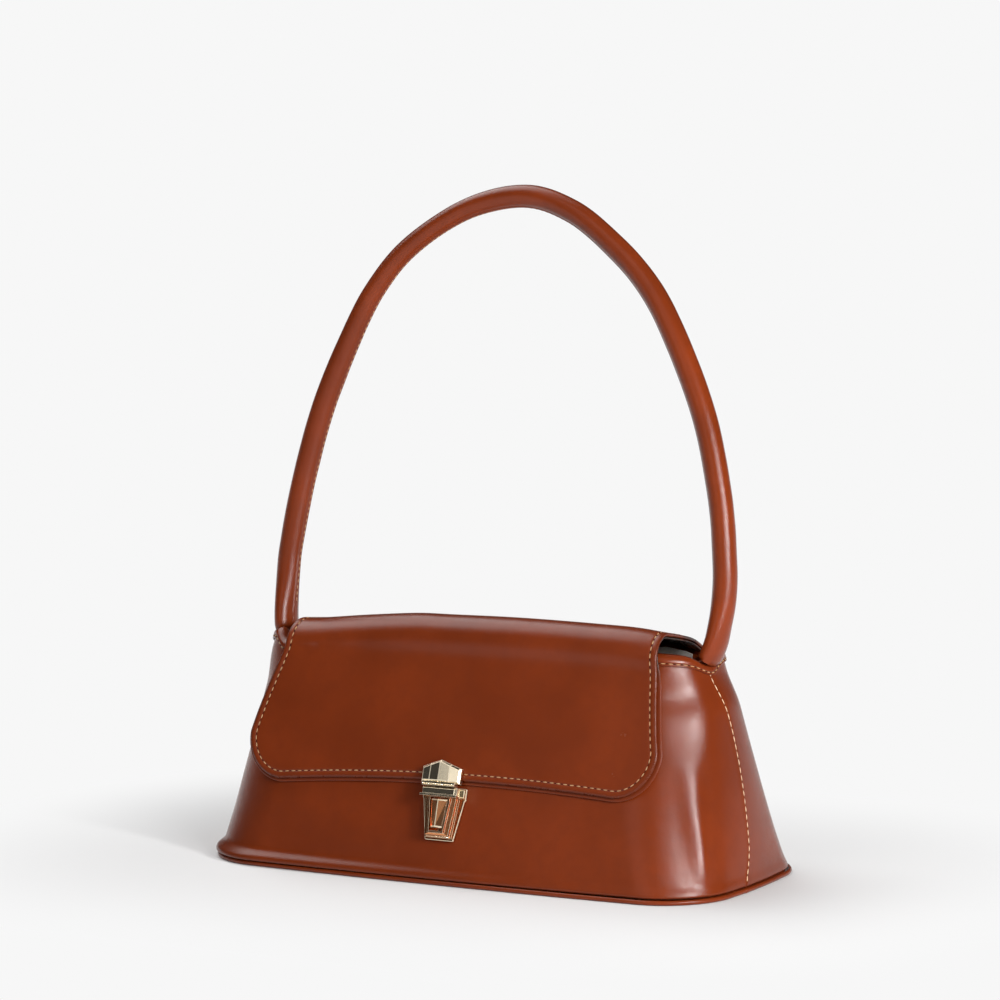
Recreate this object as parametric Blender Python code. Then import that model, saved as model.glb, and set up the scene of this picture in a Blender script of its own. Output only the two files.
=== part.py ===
"""A small trapezoid handbag with a padded arched handle, a wide front flap and a push lock.

All sizes are in metres. +Z is up, -Y is the front, and the origin is on the ground under the middle of the base.
"""
import math

import bmesh
import bpy
from mathutils import Matrix, Vector

# Body shell, measured on the outside of the leather
base_length = 0.2732
base_depth = 0.1208
middle_length = 0.2572
middle_depth = 0.092
top_length = 0.2312
front_top_depth = 0.027
back_top_depth = 0.0305
seam_height = 0.0995
base_corner_radius = 0.030
middle_corner_radius = 0.024
top_corner_radius = 0.010
base_end_crown = 0.0070
middle_end_crown = 0.0150
top_end_crown = 0.0065
base_side_crown = 0.0034
middle_side_crown = 0.0022
top_side_crown = 0.0004

# Rim, highest in the middle of each panel and lowest at the side seams
front_rim_height = 0.111
back_rim_height = 0.105
rim_arch = 0.0035
rim_dip_width = 0.0124
rim_outer_leg = 0.0050
rim_inner_leg = 0.0090
rim_thickness = 0.0008

# Layers of the wall, from outside to inside
fit_gap = 0.0003
layer_gap = 0.0005
leather_thickness = 0.0014
stiffener_thickness = 0.0009
lining_thickness = 0.0006

# Base
base_panel_thickness = 0.0016
piping_diameter = 0.0022
piping_lift = 0.0001
piping_overhang = 0.0009
base_board_thickness = 0.0020

# Handle, a padded roll that leans back slightly as it stands
handle_diameter = 0.0112
handle_cover_thickness = 0.0013
handle_pivot_height = 0.1056
handle_root_spread = 0.1148
handle_spread = 0.1184
handle_rise = 0.2087
handle_lean = math.radians(8.5)
handle_end_hole_radius = 0.0016
tab_width = 0.0160
tab_thickness = 0.0022
tab_top_height = 0.1029
tab_bottom_height = 0.0720

# Flap, one hide of leather over a lining, hinged at the back seam and folding at the front edge
flap_leather_thickness = 0.0015
flap_lining_thickness = 0.0009
flap_clearance = 0.0004
flap_hinge_height = 0.1067
flap_strip_clearance = 0.0014
flap_strip_bottom = 0.0880
flap_hinge_half_width = 0.0940
flap_fold_half_width = 0.0995
flap_low_half_width = 0.1085
flap_fold_radius = 0.01165
flap_fold_centre_depth = 0.0165
flap_fold_centre_height = 0.1055
flap_corner_radius = 0.0200
flap_bottom_height = 0.0412
flap_bottom_arch = 0.0036
flap_joint_clearance = 0.0003
flap_lining_margin = 0.0009

# Lock, in a frame that leans with the front panel: across, up and outwards
lock_centre_height = 0.0316
lock_seat = 0.0005
plate_height = 0.0244
plate_top_width = 0.0226
plate_bottom_width = 0.0142
plate_thickness = 0.0012
case_top_width = 0.0172
case_bottom_width = 0.0122
case_height = 0.0226
case_base_height = 0.0012
case_thickness = 0.0022
case_step_width = 0.0013
case_step_thickness = 0.0008
window_margin = 0.0024
window_bottom_margin = 0.0042
collar_width = 0.0168
collar_height = 0.0032
collar_thickness = 0.0046
collar_chamfer = 0.0008
button_travel = 0.0015
button_clearance = 0.0003
button_thickness = 0.0022
button_ridge = 0.0009
button_foot_thickness = 0.0007
button_foot_margin = 0.0007
spring_diameter = 0.0016
spring_wire = 0.0003
spring_pocket_depth = 0.0028
spring_turns = 5
cap_width = 0.0193
cap_shoulder_height = 0.0072
cap_height = 0.0106
cap_side_thickness = 0.0022
cap_ridge_thickness = 0.0040
cap_lift = 0.0019
neck_width = 0.0160
neck_thickness = 0.0024
neck_set_back = 0.0002
post_radius = 0.0011
post_spacing = 0.0110
cap_plate_width = 0.0160
cap_plate_height = 0.0056
cap_plate_thickness = 0.0008
prong_width = 0.0020
prong_thickness = 0.0008
prong_spacing = 0.0130
washer_width = 0.0190
washer_height = 0.0120
washer_thickness = 0.0007
washer_window_margin = 0.0010
cut_overrun = 0.0030

# Counts of facets
end_columns = 3
corner_columns = 5
side_columns = 5
panel_levels = 8
stiffener_levels = 7
handle_steps = 34
handle_sides = 8
core_sides = 6
flap_levels = 8
nose_steps = 8
round_sides = 16
route_pieces = 16
ball_steps = 4
tab_levels = 4
strip_levels = 4
strip_places = 6
flap_straight_steps = 3
flap_arc_steps = 4
flap_turn_steps = 3
flap_half_columns = 4
flap_corner_steps = 6
spring_points = 8

FRONT = -1
BACK = 1

leather_colour = (0.222, 0.045, 0.014, 1.0)
edge_colour = (0.150, 0.030, 0.010, 1.0)
lining_colour = (0.35, 0.29, 0.25, 1.0)
board_colour = (0.30, 0.22, 0.14, 1.0)
core_colour = (0.62, 0.58, 0.50, 1.0)
brass_colour = (0.83, 0.68, 0.45, 1.0)
steel_colour = (0.55, 0.55, 0.56, 1.0)


def clear_scene():
    for old in list(bpy.data.objects):
        bpy.data.objects.remove(old, do_unlink=True)


def make_material(name, colour, roughness, metallic=0.0):
    material = bpy.data.materials.new(name)
    material.use_nodes = True
    shader = material.node_tree.nodes["Principled BSDF"]
    shader.inputs["Base Color"].default_value = colour
    shader.inputs["Roughness"].default_value = roughness
    shader.inputs["Metallic"].default_value = metallic
    material.diffuse_color = colour
    return material


def blend_sizes(base, middle, top, share):
    """A smooth run through three sizes, at the base, half way up and at the top of the side seam."""
    return base + (top - base) * share + (2 * middle - base - top) * 2 * share * (1 - share)


def wall_section(side, height):
    """Half length, half depth, corner radius and the two crowns of the body at one height."""
    share = height / seam_height
    top_depth = front_top_depth if side == FRONT else back_top_depth
    half_length = blend_sizes(base_length / 2, middle_length / 2, top_length / 2, share)
    half_depth = blend_sizes(base_depth / 2, middle_depth / 2, top_depth, share)
    radius = blend_sizes(base_corner_radius, middle_corner_radius, top_corner_radius, share)
    end_crown = blend_sizes(base_end_crown, middle_end_crown, top_end_crown, share)
    side_crown = blend_sizes(base_side_crown, middle_side_crown, top_side_crown, share)
    return half_length, half_depth, radius, end_crown, side_crown


def column_places():
    """Places round half the outline, from the right seam over the middle of the panel to the left seam."""
    quarter = [("end", i / end_columns) for i in range(end_columns)]
    quarter += [("corner", i / corner_columns) for i in range(corner_columns)]
    quarter += [("side", i / side_columns) for i in range(side_columns)]
    places = [(kind, share, 1) for kind, share in quarter]
    places.append(("side", 1.0, 1))
    places += [(kind, share, -1) for kind, share in reversed(quarter)]
    return places


def outline_spot(section, kind, share):
    """Place on the outer face over one quarter of the outline, and the direction that points out of the wall."""
    half_length, half_depth, radius, end_crown, side_crown = section
    if kind == "end":
        x = half_length
        y = (half_depth - radius) * share
        normal = Vector((1.0, 0.0))
    elif kind == "corner":
        angle = share * math.pi / 2
        x = half_length - radius + radius * math.cos(angle)
        y = half_depth - radius + radius * math.sin(angle)
        normal = Vector((math.cos(angle), math.sin(angle)))
    else:
        x = (half_length - radius) * (1 - share)
        y = half_depth
        normal = Vector((0.0, 1.0))
    spot = Vector((x - end_crown * (y / half_depth) ** 2, y - side_crown * (x / half_length) ** 2))
    # The crowns lean the face, by the slope of each curve at this place
    end_slope = 2 * end_crown * y / half_depth ** 2
    side_slope = 2 * side_crown * x / half_length ** 2
    leaned = Vector((normal.x + normal.y * side_slope, normal.y + normal.x * end_slope))
    return spot, leaned.normalized()


def wall_lean(side):
    """How much further a layer lies from the outer face when it is measured level through the leaning wall."""
    top_depth = front_top_depth if side == FRONT else back_top_depth
    return math.hypot(1.0, (base_depth / 2 - top_depth) / seam_height)


def wall_point(side, place, height, inset=0.0, seam_gap=fit_gap):
    """A point of the wall, moved in from the outer face by the inset."""
    kind, share, hand = place
    spot, normal = outline_spot(wall_section(side, height), kind, share)
    spot = spot - normal * inset * wall_lean(side)
    return Vector((hand * spot.x, side * max(spot.y, seam_gap / 2), height))


def panel_depth(side, x, height):
    """Distance of the panel's outer face from the plane of the side seams."""
    half_length, half_depth, radius, end_crown, side_crown = wall_section(side, height)
    return half_depth - side_crown * (x / half_length) ** 2


def rim_top(side, place):
    """Height of the rim above one place of the outline."""
    rim_height = front_rim_height if side == FRONT else back_rim_height
    spot = wall_point(side, place, seam_height)
    arch = rim_arch * (2 * spot.x / top_length) ** 2
    dip = (rim_height - rim_arch - seam_height) * math.exp(-((abs(spot.y) / rim_dip_width) ** 2))
    return rim_height - arch - dip


def finish_mesh(name, mesh_builder, material, sharp_angle=math.radians(35)):
    bmesh.ops.recalc_face_normals(mesh_builder, faces=mesh_builder.faces)
    mesh = bpy.data.meshes.new(name)
    mesh_builder.to_mesh(mesh)
    mesh_builder.free()
    mesh.materials.append(material)
    mesh.shade_smooth()
    mesh.set_sharp_from_angle(angle=sharp_angle)
    thing = bpy.data.objects.new(name, mesh)
    bpy.context.scene.collection.objects.link(thing)
    return thing


def ring_solid(name, rings, material, closed=False):
    """A solid lofted through rings of points, capped at both ends unless its rings close on themselves."""
    builder = bmesh.new()
    loops = [[builder.verts.new(point) for point in ring] for ring in rings]
    count = len(loops[0])
    pairs = list(zip(loops, loops[1:]))
    if closed:
        pairs.append((loops[-1], loops[0]))
    for first, second in pairs:
        for i in range(count):
            j = (i + 1) % count
            builder.faces.new((first[i], first[j], second[j], second[i]))
    if not closed:
        builder.faces.new(loops[0])
        builder.faces.new(loops[-1])
    return finish_mesh(name, builder, material)


def wall_layer(name, side, outer_inset, thickness, low, top_drop, levels, material):
    """One layer of the front or back wall, wrapped from seam to seam, on the levels that all layers share."""
    rings = []
    for place in column_places():
        rim = rim_top(side, place)
        heights = [rim * i / panel_levels for i in range(levels + 1)]
        heights[0] = low
        heights[-1] -= top_drop
        outer = [wall_point(side, place, height, outer_inset) for height in heights]
        inner = [wall_point(side, place, height, outer_inset + thickness) for height in reversed(heights)]
        rings.append(outer + inner)
    return ring_solid(name, rings, material)


def rim_binding(name, side, material):
    """A leather binding folded over the rim, with a short outer leg and a longer inner leg."""
    wall = leather_thickness + stiffener_thickness + lining_thickness + 2 * layer_gap
    profile = (
        (-fit_gap - rim_thickness, rim_outer_leg),
        (-fit_gap - rim_thickness, 0.0),
        (wall + fit_gap + rim_thickness, 0.0),
        (wall + fit_gap + rim_thickness, rim_inner_leg),
        (wall + fit_gap, rim_inner_leg),
        (wall + fit_gap, rim_thickness),
        (-fit_gap, rim_thickness),
        (-fit_gap, rim_outer_leg),
    )
    rings = []
    for place in column_places():
        top = rim_top(side, place)
        rings.append([wall_point(side, place, top - drop, inset) for inset, drop in profile])
    return ring_solid(name, rings, material)


def base_outline(height, inset):
    """The whole outline of the base at one height, as one loop."""
    front = [wall_point(FRONT, place, height, inset, 0.0) for place in column_places()]
    back = [wall_point(BACK, place, height, inset, 0.0) for place in column_places()]
    loop = front + list(reversed(back))[1:-1]
    return [Vector((point.x, point.y, height)) for point in loop]


def base_plate(name, low, thickness, inset, material):
    """A flat plate inside the walls, which fits whether they lean in or out above the base."""
    pairs = zip(base_outline(0.0, inset), base_outline(low + thickness, inset))
    shape = [min(pair, key=lambda point: math.hypot(point.x, point.y)) for pair in pairs]
    rings = [[Vector((p.x, p.y, height)) for p in shape] for height in (low, low + thickness)]
    return ring_solid(name, rings, material)


def base_piping(name, material):
    """A round piping along the edge of the base."""
    radius = piping_diameter / 2
    rings = []
    middle = base_outline(0.0, radius - piping_overhang)
    count = len(middle)
    for i, centre in enumerate(middle):
        along = (middle[(i + 1) % count] - middle[i - 1]).normalized()
        across = Vector((along.y, -along.x, 0.0))
        ring = []
        for k in range(core_sides):
            angle = 2 * math.pi * (k + 0.5) / core_sides
            offset = across * radius * math.cos(angle) + Vector((0, 0, radius * math.sin(angle)))
            ring.append(centre + offset + Vector((0, 0, radius + piping_lift)))
        rings.append(ring)
    return ring_solid(name, rings, material, closed=True)


def smooth_route(points, steps):
    """Evenly spread points on a Catmull-Rom curve through the given points."""
    padded = [2 * points[0] - points[1]] + list(points) + [2 * points[-1] - points[-2]]
    fine = []
    for a, b, c, d in zip(padded, padded[1:], padded[2:], padded[3:]):
        for i in range(route_pieces):
            t = i / route_pieces
            fine.append(0.5 * (2 * b + (c - a) * t + (2 * a - 5 * b + 4 * c - d) * t ** 2
                               + (3 * b - a - 3 * c + d) * t ** 3))
    fine.append(points[-1])
    lengths = [0.0]
    for a, b in zip(fine, fine[1:]):
        lengths.append(lengths[-1] + (b - a).length)
    route = []
    k = 0
    for i in range(steps + 1):
        target = lengths[-1] * i / steps
        while k < len(fine) - 2 and lengths[k + 1] < target:
            k += 1
        share = (target - lengths[k]) / (lengths[k + 1] - lengths[k])
        route.append(fine[k].lerp(fine[k + 1], share))
    return route


# Spread and rise of the handle's middle line between a root and the apex
handle_route_shares = (
    (0.993, 0.130),
    (1.000, 0.180),
    (0.957, 0.360),
    (0.815, 0.600),
    (0.600, 0.810),
    (0.330, 0.945),
)


def handle_point(spread, rise):
    """A point of the leaning handle plane, from its spread to the right and its rise above the pivot."""
    return Vector((spread, math.sin(handle_lean) * rise, handle_pivot_height + math.cos(handle_lean) * rise))


def handle_route():
    half = [handle_point(handle_root_spread, 0.0)]
    half += [handle_point(spread * handle_spread, rise * handle_rise) for spread, rise in handle_route_shares]
    apex = handle_point(0.0, handle_rise)
    mirrored = [Vector((-point.x, point.y, point.z)) for point in half]
    return smooth_route(mirrored + [apex] + list(reversed(half)), handle_steps)


def route_rings(route, radius, sides, end_radius):
    """Round rings along the route, with each end drawn in like a ball about its end point."""
    normal = (route[0] - route[len(route) // 2]).cross(route[-1] - route[len(route) // 2]).normalized()
    stations = []
    close = math.acos(end_radius / radius)
    first = (route[1] - route[0]).normalized()
    last = (route[-1] - route[-2]).normalized()
    for i in range(ball_steps, 0, -1):
        angle = close * i / ball_steps
        stations.append((route[0] - first * radius * math.sin(angle), first, radius * math.cos(angle)))
    for i, centre in enumerate(route):
        before = route[max(i - 1, 0)]
        after = route[min(i + 1, len(route) - 1)]
        stations.append((centre, (after - before).normalized(), radius))
    for i in range(1, ball_steps + 1):
        angle = close * i / ball_steps
        stations.append((route[-1] + last * radius * math.sin(angle), last, radius * math.cos(angle)))
    rings = []
    for centre, along, size in stations:
        side = normal.cross(along).normalized()
        ring = []
        for k in range(sides):
            angle = 2 * math.pi * k / sides
            ring.append(centre + (normal * math.cos(angle) + side * math.sin(angle)) * size)
        rings.append(ring)
    return rings


def handle_cover(name, material):
    """The leather roll, hollow, with a small hole in each rounded end."""
    route = handle_route()
    outer = route_rings(route, handle_diameter / 2, handle_sides, handle_end_hole_radius)
    inner_radius = handle_diameter / 2 - handle_cover_thickness
    inner = route_rings(route, inner_radius, handle_sides, handle_end_hole_radius)
    return ring_solid(name, outer + list(reversed(inner)), material, closed=True)


def handle_core(name, material):
    radius = handle_diameter / 2 - handle_cover_thickness - 2 * fit_gap
    return ring_solid(name, route_rings(handle_route(), radius, core_sides, handle_end_hole_radius), material)


def handle_tab(name, hand, material):
    """The flat end of the handle, sewn inside the bag over the side seam."""
    wall = leather_thickness + stiffener_thickness + lining_thickness + 2 * layer_gap
    inset = wall + 2 * fit_gap + rim_thickness
    rings = []
    for i in range(tab_levels + 1):
        height = tab_bottom_height + (tab_top_height - tab_bottom_height) * i / tab_levels
        half_length, half_depth, radius, end_crown, side_crown = wall_section(FRONT, height)
        outer = half_length - inset * wall_lean(FRONT) - end_crown * (tab_width / 2 / half_depth) ** 2
        inner = outer - tab_thickness
        rings.append([
            Vector((hand * outer, -tab_width / 2, height)),
            Vector((hand * outer, tab_width / 2, height)),
            Vector((hand * inner, tab_width / 2, height)),
            Vector((hand * inner, -tab_width / 2, height)),
        ])
    return ring_solid(name, rings, material)


# Flap, all thicknesses measured from its middle surface
flap_half_thickness = (flap_leather_thickness + flap_lining_thickness + fit_gap) / 2
flap_leather_inner = flap_half_thickness - flap_leather_thickness
flap_lining_outer = flap_leather_inner - fit_gap
flap_joint_gap = flap_half_thickness + flap_joint_clearance
fold_angle = math.radians(135)


def flap_hinge():
    """Depth and height of the hinge line at the back seam."""
    depth = panel_depth(BACK, 0.0, flap_hinge_height) + flap_strip_clearance + flap_half_thickness
    return Vector((depth, flap_hinge_height))


def fold_point(angle):
    centre = Vector((-flap_fold_centre_depth, flap_fold_centre_height))
    return centre + flap_fold_radius * Vector((math.cos(angle), math.sin(angle)))


def flap_fold():
    """Depth and height of the fold line over the front rim."""
    return fold_point(fold_angle)


def flap_top_path(start_gap, end_gap):
    """Middle line of the flap's top, from the hinge to the fold, trimmed at both ends."""
    hinge = flap_hinge()
    centre = Vector((-flap_fold_centre_depth, flap_fold_centre_height))
    towards = hinge - centre
    tangent_angle = math.atan2(towards.y, towards.x) + math.acos(flap_fold_radius / towards.length)
    touch = fold_point(tangent_angle)
    start = hinge + (touch - hinge).normalized() * start_gap
    path = [start.lerp(touch, i / flap_straight_steps) for i in range(flap_straight_steps)]
    last_angle = fold_angle - end_gap / flap_fold_radius
    for i in range(flap_arc_steps + 1):
        path.append(fold_point(tangent_angle + (last_angle - tangent_angle) * i / flap_arc_steps))
    return path


def flap_front_path(x, bottom, start_gap):
    """Middle line of the flap's front at one place across, from the fold down to its bottom edge."""
    path = []
    first_angle = fold_angle + start_gap / flap_fold_radius
    for i in range(flap_turn_steps + 1):
        path.append(fold_point(first_angle + (math.pi - first_angle) * i / flap_turn_steps))
    for i in range(1, flap_levels + 1):
        height = flap_fold_centre_height + (bottom - flap_fold_centre_height) * i / flap_levels
        depth = panel_depth(FRONT, x, height) + flap_clearance + flap_half_thickness
        path.append(Vector((-max(depth, flap_fold_centre_depth + flap_fold_radius), height)))
    return path


def path_normals(path):
    """Outward normals of a path that runs from the back over the top to the front."""
    normals = []
    for i in range(len(path)):
        before = path[max(i - 1, 0)]
        after = path[min(i + 1, len(path) - 1)]
        along = (after - before).normalized()
        normals.append(Vector((along.y, -along.x)))
    return normals


def strip_ring(path, outer, inner, nose=False):
    """Section of a bent strip, as a loop of depth and height pairs, with a round nose at its start if asked."""
    normals = path_normals(path)
    upper = [point + normal * outer for point, normal in zip(path, normals)]
    lower = [point + normal * inner for point, normal in zip(path, normals)]
    if not nose:
        return list(reversed(upper)) + lower
    along = (path[1] - path[0]).normalized()
    normal = normals[0]
    first = math.pi / 2
    last = 2 * math.pi - math.asin(-inner / outer)
    round_end = []
    for i in range(nose_steps + 1):
        angle = first + (last - first) * i / nose_steps
        round_end.append(path[0] + outer * (math.cos(angle) * along + math.sin(angle) * normal))
    return list(reversed(upper[1:])) + round_end + lower[1:]


def flap_half_width(height, margin=0.0):
    """Half width of the flap's front at one height."""
    low = flap_bottom_height + flap_corner_radius
    share = (flap_fold_centre_height - height) / (flap_fold_centre_height - low)
    share = min(max(share, 0.0), 1.0)
    return flap_fold_half_width + (flap_low_half_width - flap_fold_half_width) * share + margin


def flap_columns(margin):
    """Places across the flap, dense at the rounded bottom corners, as shares of the half width."""
    width = flap_low_half_width + margin
    radius = flap_corner_radius + margin
    straight = (width - radius) / width
    half = [straight * i / flap_half_columns for i in range(flap_half_columns + 1)]
    for i in range(1, flap_corner_steps + 1):
        half.append(straight + (1 - straight) * math.sin(math.pi / 2 * i / flap_corner_steps))
    return [-share for share in reversed(half[1:])] + half


def flap_bottom(share, margin):
    """Height of the flap's bottom edge at one share of its half width."""
    width = flap_low_half_width + margin
    radius = flap_corner_radius + margin
    x = abs(share) * width
    edge = flap_bottom_height - margin + flap_bottom_arch * (1 - share ** 2)
    past = max(x - (width - radius), 0.0)
    return edge + radius - math.sqrt(max(radius ** 2 - past ** 2, 0.0))


def flap_top_layer(name, outer, inner, nose, margin, start_gap, material):
    section = strip_ring(flap_top_path(start_gap, flap_joint_gap), outer, inner, nose)
    hinge = flap_hinge()
    fold = flap_fold()
    rings = []
    for hand in (-1, 1):
        ring = []
        for depth, height in section:
            share = (hinge.x - depth) / (hinge.x - fold.x)
            width = flap_hinge_half_width + (flap_fold_half_width - flap_hinge_half_width) * share + margin
            ring.append(Vector((hand * width, depth, height)))
        rings.append(ring)
    return ring_solid(name, rings, material)


def flap_front_layer(name, outer, inner, nose, margin, start_gap, material):
    rings = []
    for share in flap_columns(margin):
        bottom = flap_bottom(share, margin)
        x = share * (flap_low_half_width + margin)
        section = strip_ring(flap_front_path(x, bottom, start_gap), outer, inner, nose)
        rings.append([
            Vector((share * flap_half_width(height, margin), depth, height)) for depth, height in section
        ])
    return ring_solid(name, rings, material)


def flap_seam_strip(name, material):
    """The flap's sewn root on the outside of the back panel."""
    top = flap_hinge_height - flap_joint_gap
    inner = flap_strip_clearance + flap_half_thickness + flap_leather_inner
    rings = []
    for i in range(strip_places + 1):
        x = flap_hinge_half_width * (2 * i / strip_places - 1)
        near = []
        far = []
        for k in range(strip_levels + 1):
            height = flap_strip_bottom + (top - flap_strip_bottom) * k / strip_levels
            face = panel_depth(BACK, x, height) + inner
            near.append(Vector((x, face, height)))
            far.append(Vector((x, face + flap_leather_thickness, height)))
        rings.append(near + list(reversed(far)))
    return ring_solid(name, rings, material)


def panel_frame(height, reach, below):
    """Frame on the front panel: X across, Y up along it, Z outwards, with its origin below the given height."""
    points = []
    for level in (height - reach, height, height + reach):
        points.append(Vector((0.0, -panel_depth(FRONT, 0.0, level), level)))
    up = (points[2] - points[0]).normalized()
    across = Vector((1.0, 0.0, 0.0))
    matrix = Matrix((across, up, across.cross(up))).transposed().to_4x4()
    matrix.translation = points[1] - up * below
    return matrix


def lock_frame():
    return panel_frame(lock_centre_height, plate_height / 4, plate_height / 2)


def cap_frame():
    """The frame of the cap, whose origin is on the line of the cap's bottom edge."""
    edge = lock_frame() @ Vector((0.0, case_high + collar_height + fit_gap + cap_lift, 0.0))
    middle = edge.z + cap_height / 2
    return panel_frame(middle, cap_height / 4, (middle - edge.z) * wall_lean(FRONT))


def put_origin(thing, point):
    """Moves the piece's origin onto its joint's axis and leaves its surface where it is."""
    thing.data.transform(Matrix.Translation(-point))
    thing.location = point
    return thing


def place_in(frame, thing):
    """Turns the mesh itself into its place, so the object keeps no rotation or scale."""
    thing.data.transform(frame)
    return thing


def place_in_lock(thing):
    return place_in(lock_frame(), thing)


def prism(name, outline, low, high, material):
    """A straight prism on an outline across and up, from one height over the panel to another."""
    rings = [[Vector((x, y, level)) for x, y in outline] for level in (low, high)]
    return ring_solid(name, rings, material)


def tapered(bottom_width, top_width, bottom, top):
    return [(-bottom_width / 2, bottom), (bottom_width / 2, bottom), (top_width / 2, top), (-top_width / 2, top)]


def cut(thing, cutter):
    modifier = thing.modifiers.new("cut " + cutter.name, "BOOLEAN")
    modifier.operation = "DIFFERENCE"
    modifier.solver = "EXACT"
    modifier.object = cutter
    cutter.hide_render = True
    cutter.display_type = "WIRE"


def join_solid(thing, extra):
    modifier = thing.modifiers.new("join " + extra.name, "BOOLEAN")
    modifier.operation = "UNION"
    modifier.solver = "EXACT"
    modifier.object = extra
    extra.hide_render = True
    extra.display_type = "WIRE"


def box_outline(width, height, centre_x, centre_y):
    left = centre_x - width / 2
    right = centre_x + width / 2
    low = centre_y - height / 2
    high = centre_y + height / 2
    return [(left, low), (right, low), (right, high), (left, high)]


washer_centre = plate_height / 2
washer_seat = -leather_thickness - fit_gap
case_low = case_base_height
case_high = case_base_height + case_height - collar_height
case_seat = lock_seat + plate_thickness
window_low = case_low + window_bottom_margin


def case_width(height):
    share = (height - case_low) / (case_high + collar_height - case_low)
    return case_bottom_width + (case_top_width - case_bottom_width) * share


def window_outline(margin, low, high):
    bottom = case_width(low) - 2 * (window_margin + margin)
    top = case_width(high) - 2 * (window_margin + margin)
    return tapered(bottom, top, low, high)


def lock_plate(material):
    """The outer plate against the leather, with two prongs that pass through the panel."""
    plate = prism("lock_plate", tapered(plate_bottom_width, plate_top_width, 0.0, plate_height),
                  lock_seat, lock_seat + plate_thickness, material)
    reach = washer_seat - washer_thickness
    for hand in (-1, 1):
        outline = box_outline(prong_width, prong_thickness, hand * prong_spacing / 2, washer_centre)
        prong = prism("prong_guide_" + ("left" if hand < 0 else "right"), outline,
                      reach, lock_seat + plate_thickness / 2, material)
        place_in_lock(prong)
        join_solid(plate, prong)
    return place_in_lock(plate)


def prong_cutters():
    cutters = []
    for hand in (-1, 1):
        outline = box_outline(prong_width + 2 * fit_gap, prong_thickness + 2 * fit_gap,
                              hand * prong_spacing / 2, washer_centre)
        cutter = prism("prong_hole_" + ("left" if hand < 0 else "right"), outline,
                       -cut_overrun - leather_thickness, cut_overrun, hidden_material())
        cutters.append(place_in_lock(cutter))
    return cutters


def hidden_material():
    """The material of cutters and of pieces that are joined to another."""
    return bpy.data.materials["edge leather"]


def lock_washer(material, cutters):
    outline = box_outline(washer_width, washer_height, 0.0, washer_centre)
    washer = place_in_lock(prism("lock_washer", outline, washer_seat - washer_thickness, washer_seat, material))
    for cutter in cutters:
        cut(washer, cutter)
    return washer


def washer_window():
    size = 2 * washer_window_margin
    outline = box_outline(washer_width + size, washer_height + size, 0.0, washer_centre)
    cutter = prism("washer_window", outline, -cut_overrun - leather_thickness - stiffener_thickness,
                   cut_overrun, hidden_material())
    return place_in_lock(cutter)


def lock_case(material):
    """The stepped frame with its window, and the collar that the flap's tongue meets."""
    low_width = case_width(case_low)
    high_width = case_width(case_high)
    step = 2 * case_step_width
    body = prism("lock_case", tapered(low_width, high_width, case_low, case_high),
                 case_seat, case_seat + case_thickness, material)
    raised = prism("case_step", tapered(low_width - step, high_width - step, case_low + case_step_width, case_high),
                   case_seat + case_thickness / 2, case_seat + case_thickness + case_step_thickness, material)
    collar_low = case_high - collar_chamfer
    collar = prism("case_collar", box_outline(collar_width, collar_height + collar_chamfer, 0.0,
                                              collar_low + (collar_height + collar_chamfer) / 2),
                   case_seat, case_seat + collar_thickness, material)
    bevel = collar.modifiers.new("chamfer", "BEVEL")
    bevel.width = collar_chamfer
    bevel.segments = 1
    window = prism("case_window", window_outline(0.0, window_low, case_high - window_margin / 2),
                   case_seat + button_foot_thickness + fit_gap, case_seat + case_thickness + cut_overrun, material)
    pocket_outline = window_outline(-button_foot_margin - button_clearance, window_low - button_foot_margin,
                                    case_high - window_margin / 4)
    pocket = prism("case_pocket", pocket_outline, case_seat - cut_overrun / 2,
                   case_seat + button_foot_thickness + 2 * fit_gap, material)
    spring_pocket = prism("spring_pocket", box_outline(spring_diameter + 2 * fit_gap, 2 * spring_pocket_depth, 0.0,
                                                       window_low), case_seat - cut_overrun / 2,
                          case_seat + spring_diameter + 2 * fit_gap, material)
    for piece in (raised, collar):
        place_in_lock(piece)
        join_solid(body, piece)
    for piece in (window, pocket, spring_pocket):
        place_in_lock(piece)
        cut(body, piece)
    return place_in_lock(body)


def lock_button(material):
    """The ridged button that slides down in the window, with a foot that holds it behind the frame."""
    top = case_high - window_margin / 2 - button_clearance
    low = window_low + button_travel + button_clearance
    margin = button_clearance
    bottom_width = case_width(window_low) - 2 * (window_margin + margin)
    slope = (case_width(top) - case_width(low)) / 2
    top_width = bottom_width + slope
    base = case_seat + fit_gap
    foot_top = base + button_foot_thickness - fit_gap
    face = case_seat + case_thickness + button_thickness / 4
    ridge = face + button_ridge
    outline_low = [(-bottom_width / 2, low), (0.0, low), (bottom_width / 2, low),
                   (top_width / 2, top), (0.0, top), (-top_width / 2, top)]
    back = [Vector((x, y, foot_top - fit_gap)) for x, y in outline_low]
    front = [Vector((x, y, ridge if x == 0.0 else face)) for x, y in outline_low]
    button = ring_faceted("lock_button", [back, front], material)
    foot = prism("button_foot", tapered(bottom_width + 2 * button_foot_margin, top_width + button_foot_margin,
                                        low, top), base, foot_top, material)
    place_in_lock(foot)
    join_solid(button, foot)
    return place_in_lock(button)


def ring_faceted(name, rings, material):
    """A loft whose caps are split along the middle, for a face with a ridge between the points at x = 0."""
    builder = bmesh.new()
    loops = [[builder.verts.new(point) for point in ring] for ring in rings]
    count = len(loops[0])
    for first, second in zip(loops, loops[1:]):
        for i in range(count):
            j = (i + 1) % count
            builder.faces.new((first[i], first[j], second[j], second[i]))
    middles = [i for i, point in enumerate(rings[-1]) if point.x == 0.0]
    a, b = middles
    for loop in (loops[0], loops[-1]):
        builder.faces.new(loop[a:b + 1])
        builder.faces.new(loop[b:] + loop[:a + 1])
    return finish_mesh(name, builder, material)


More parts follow.
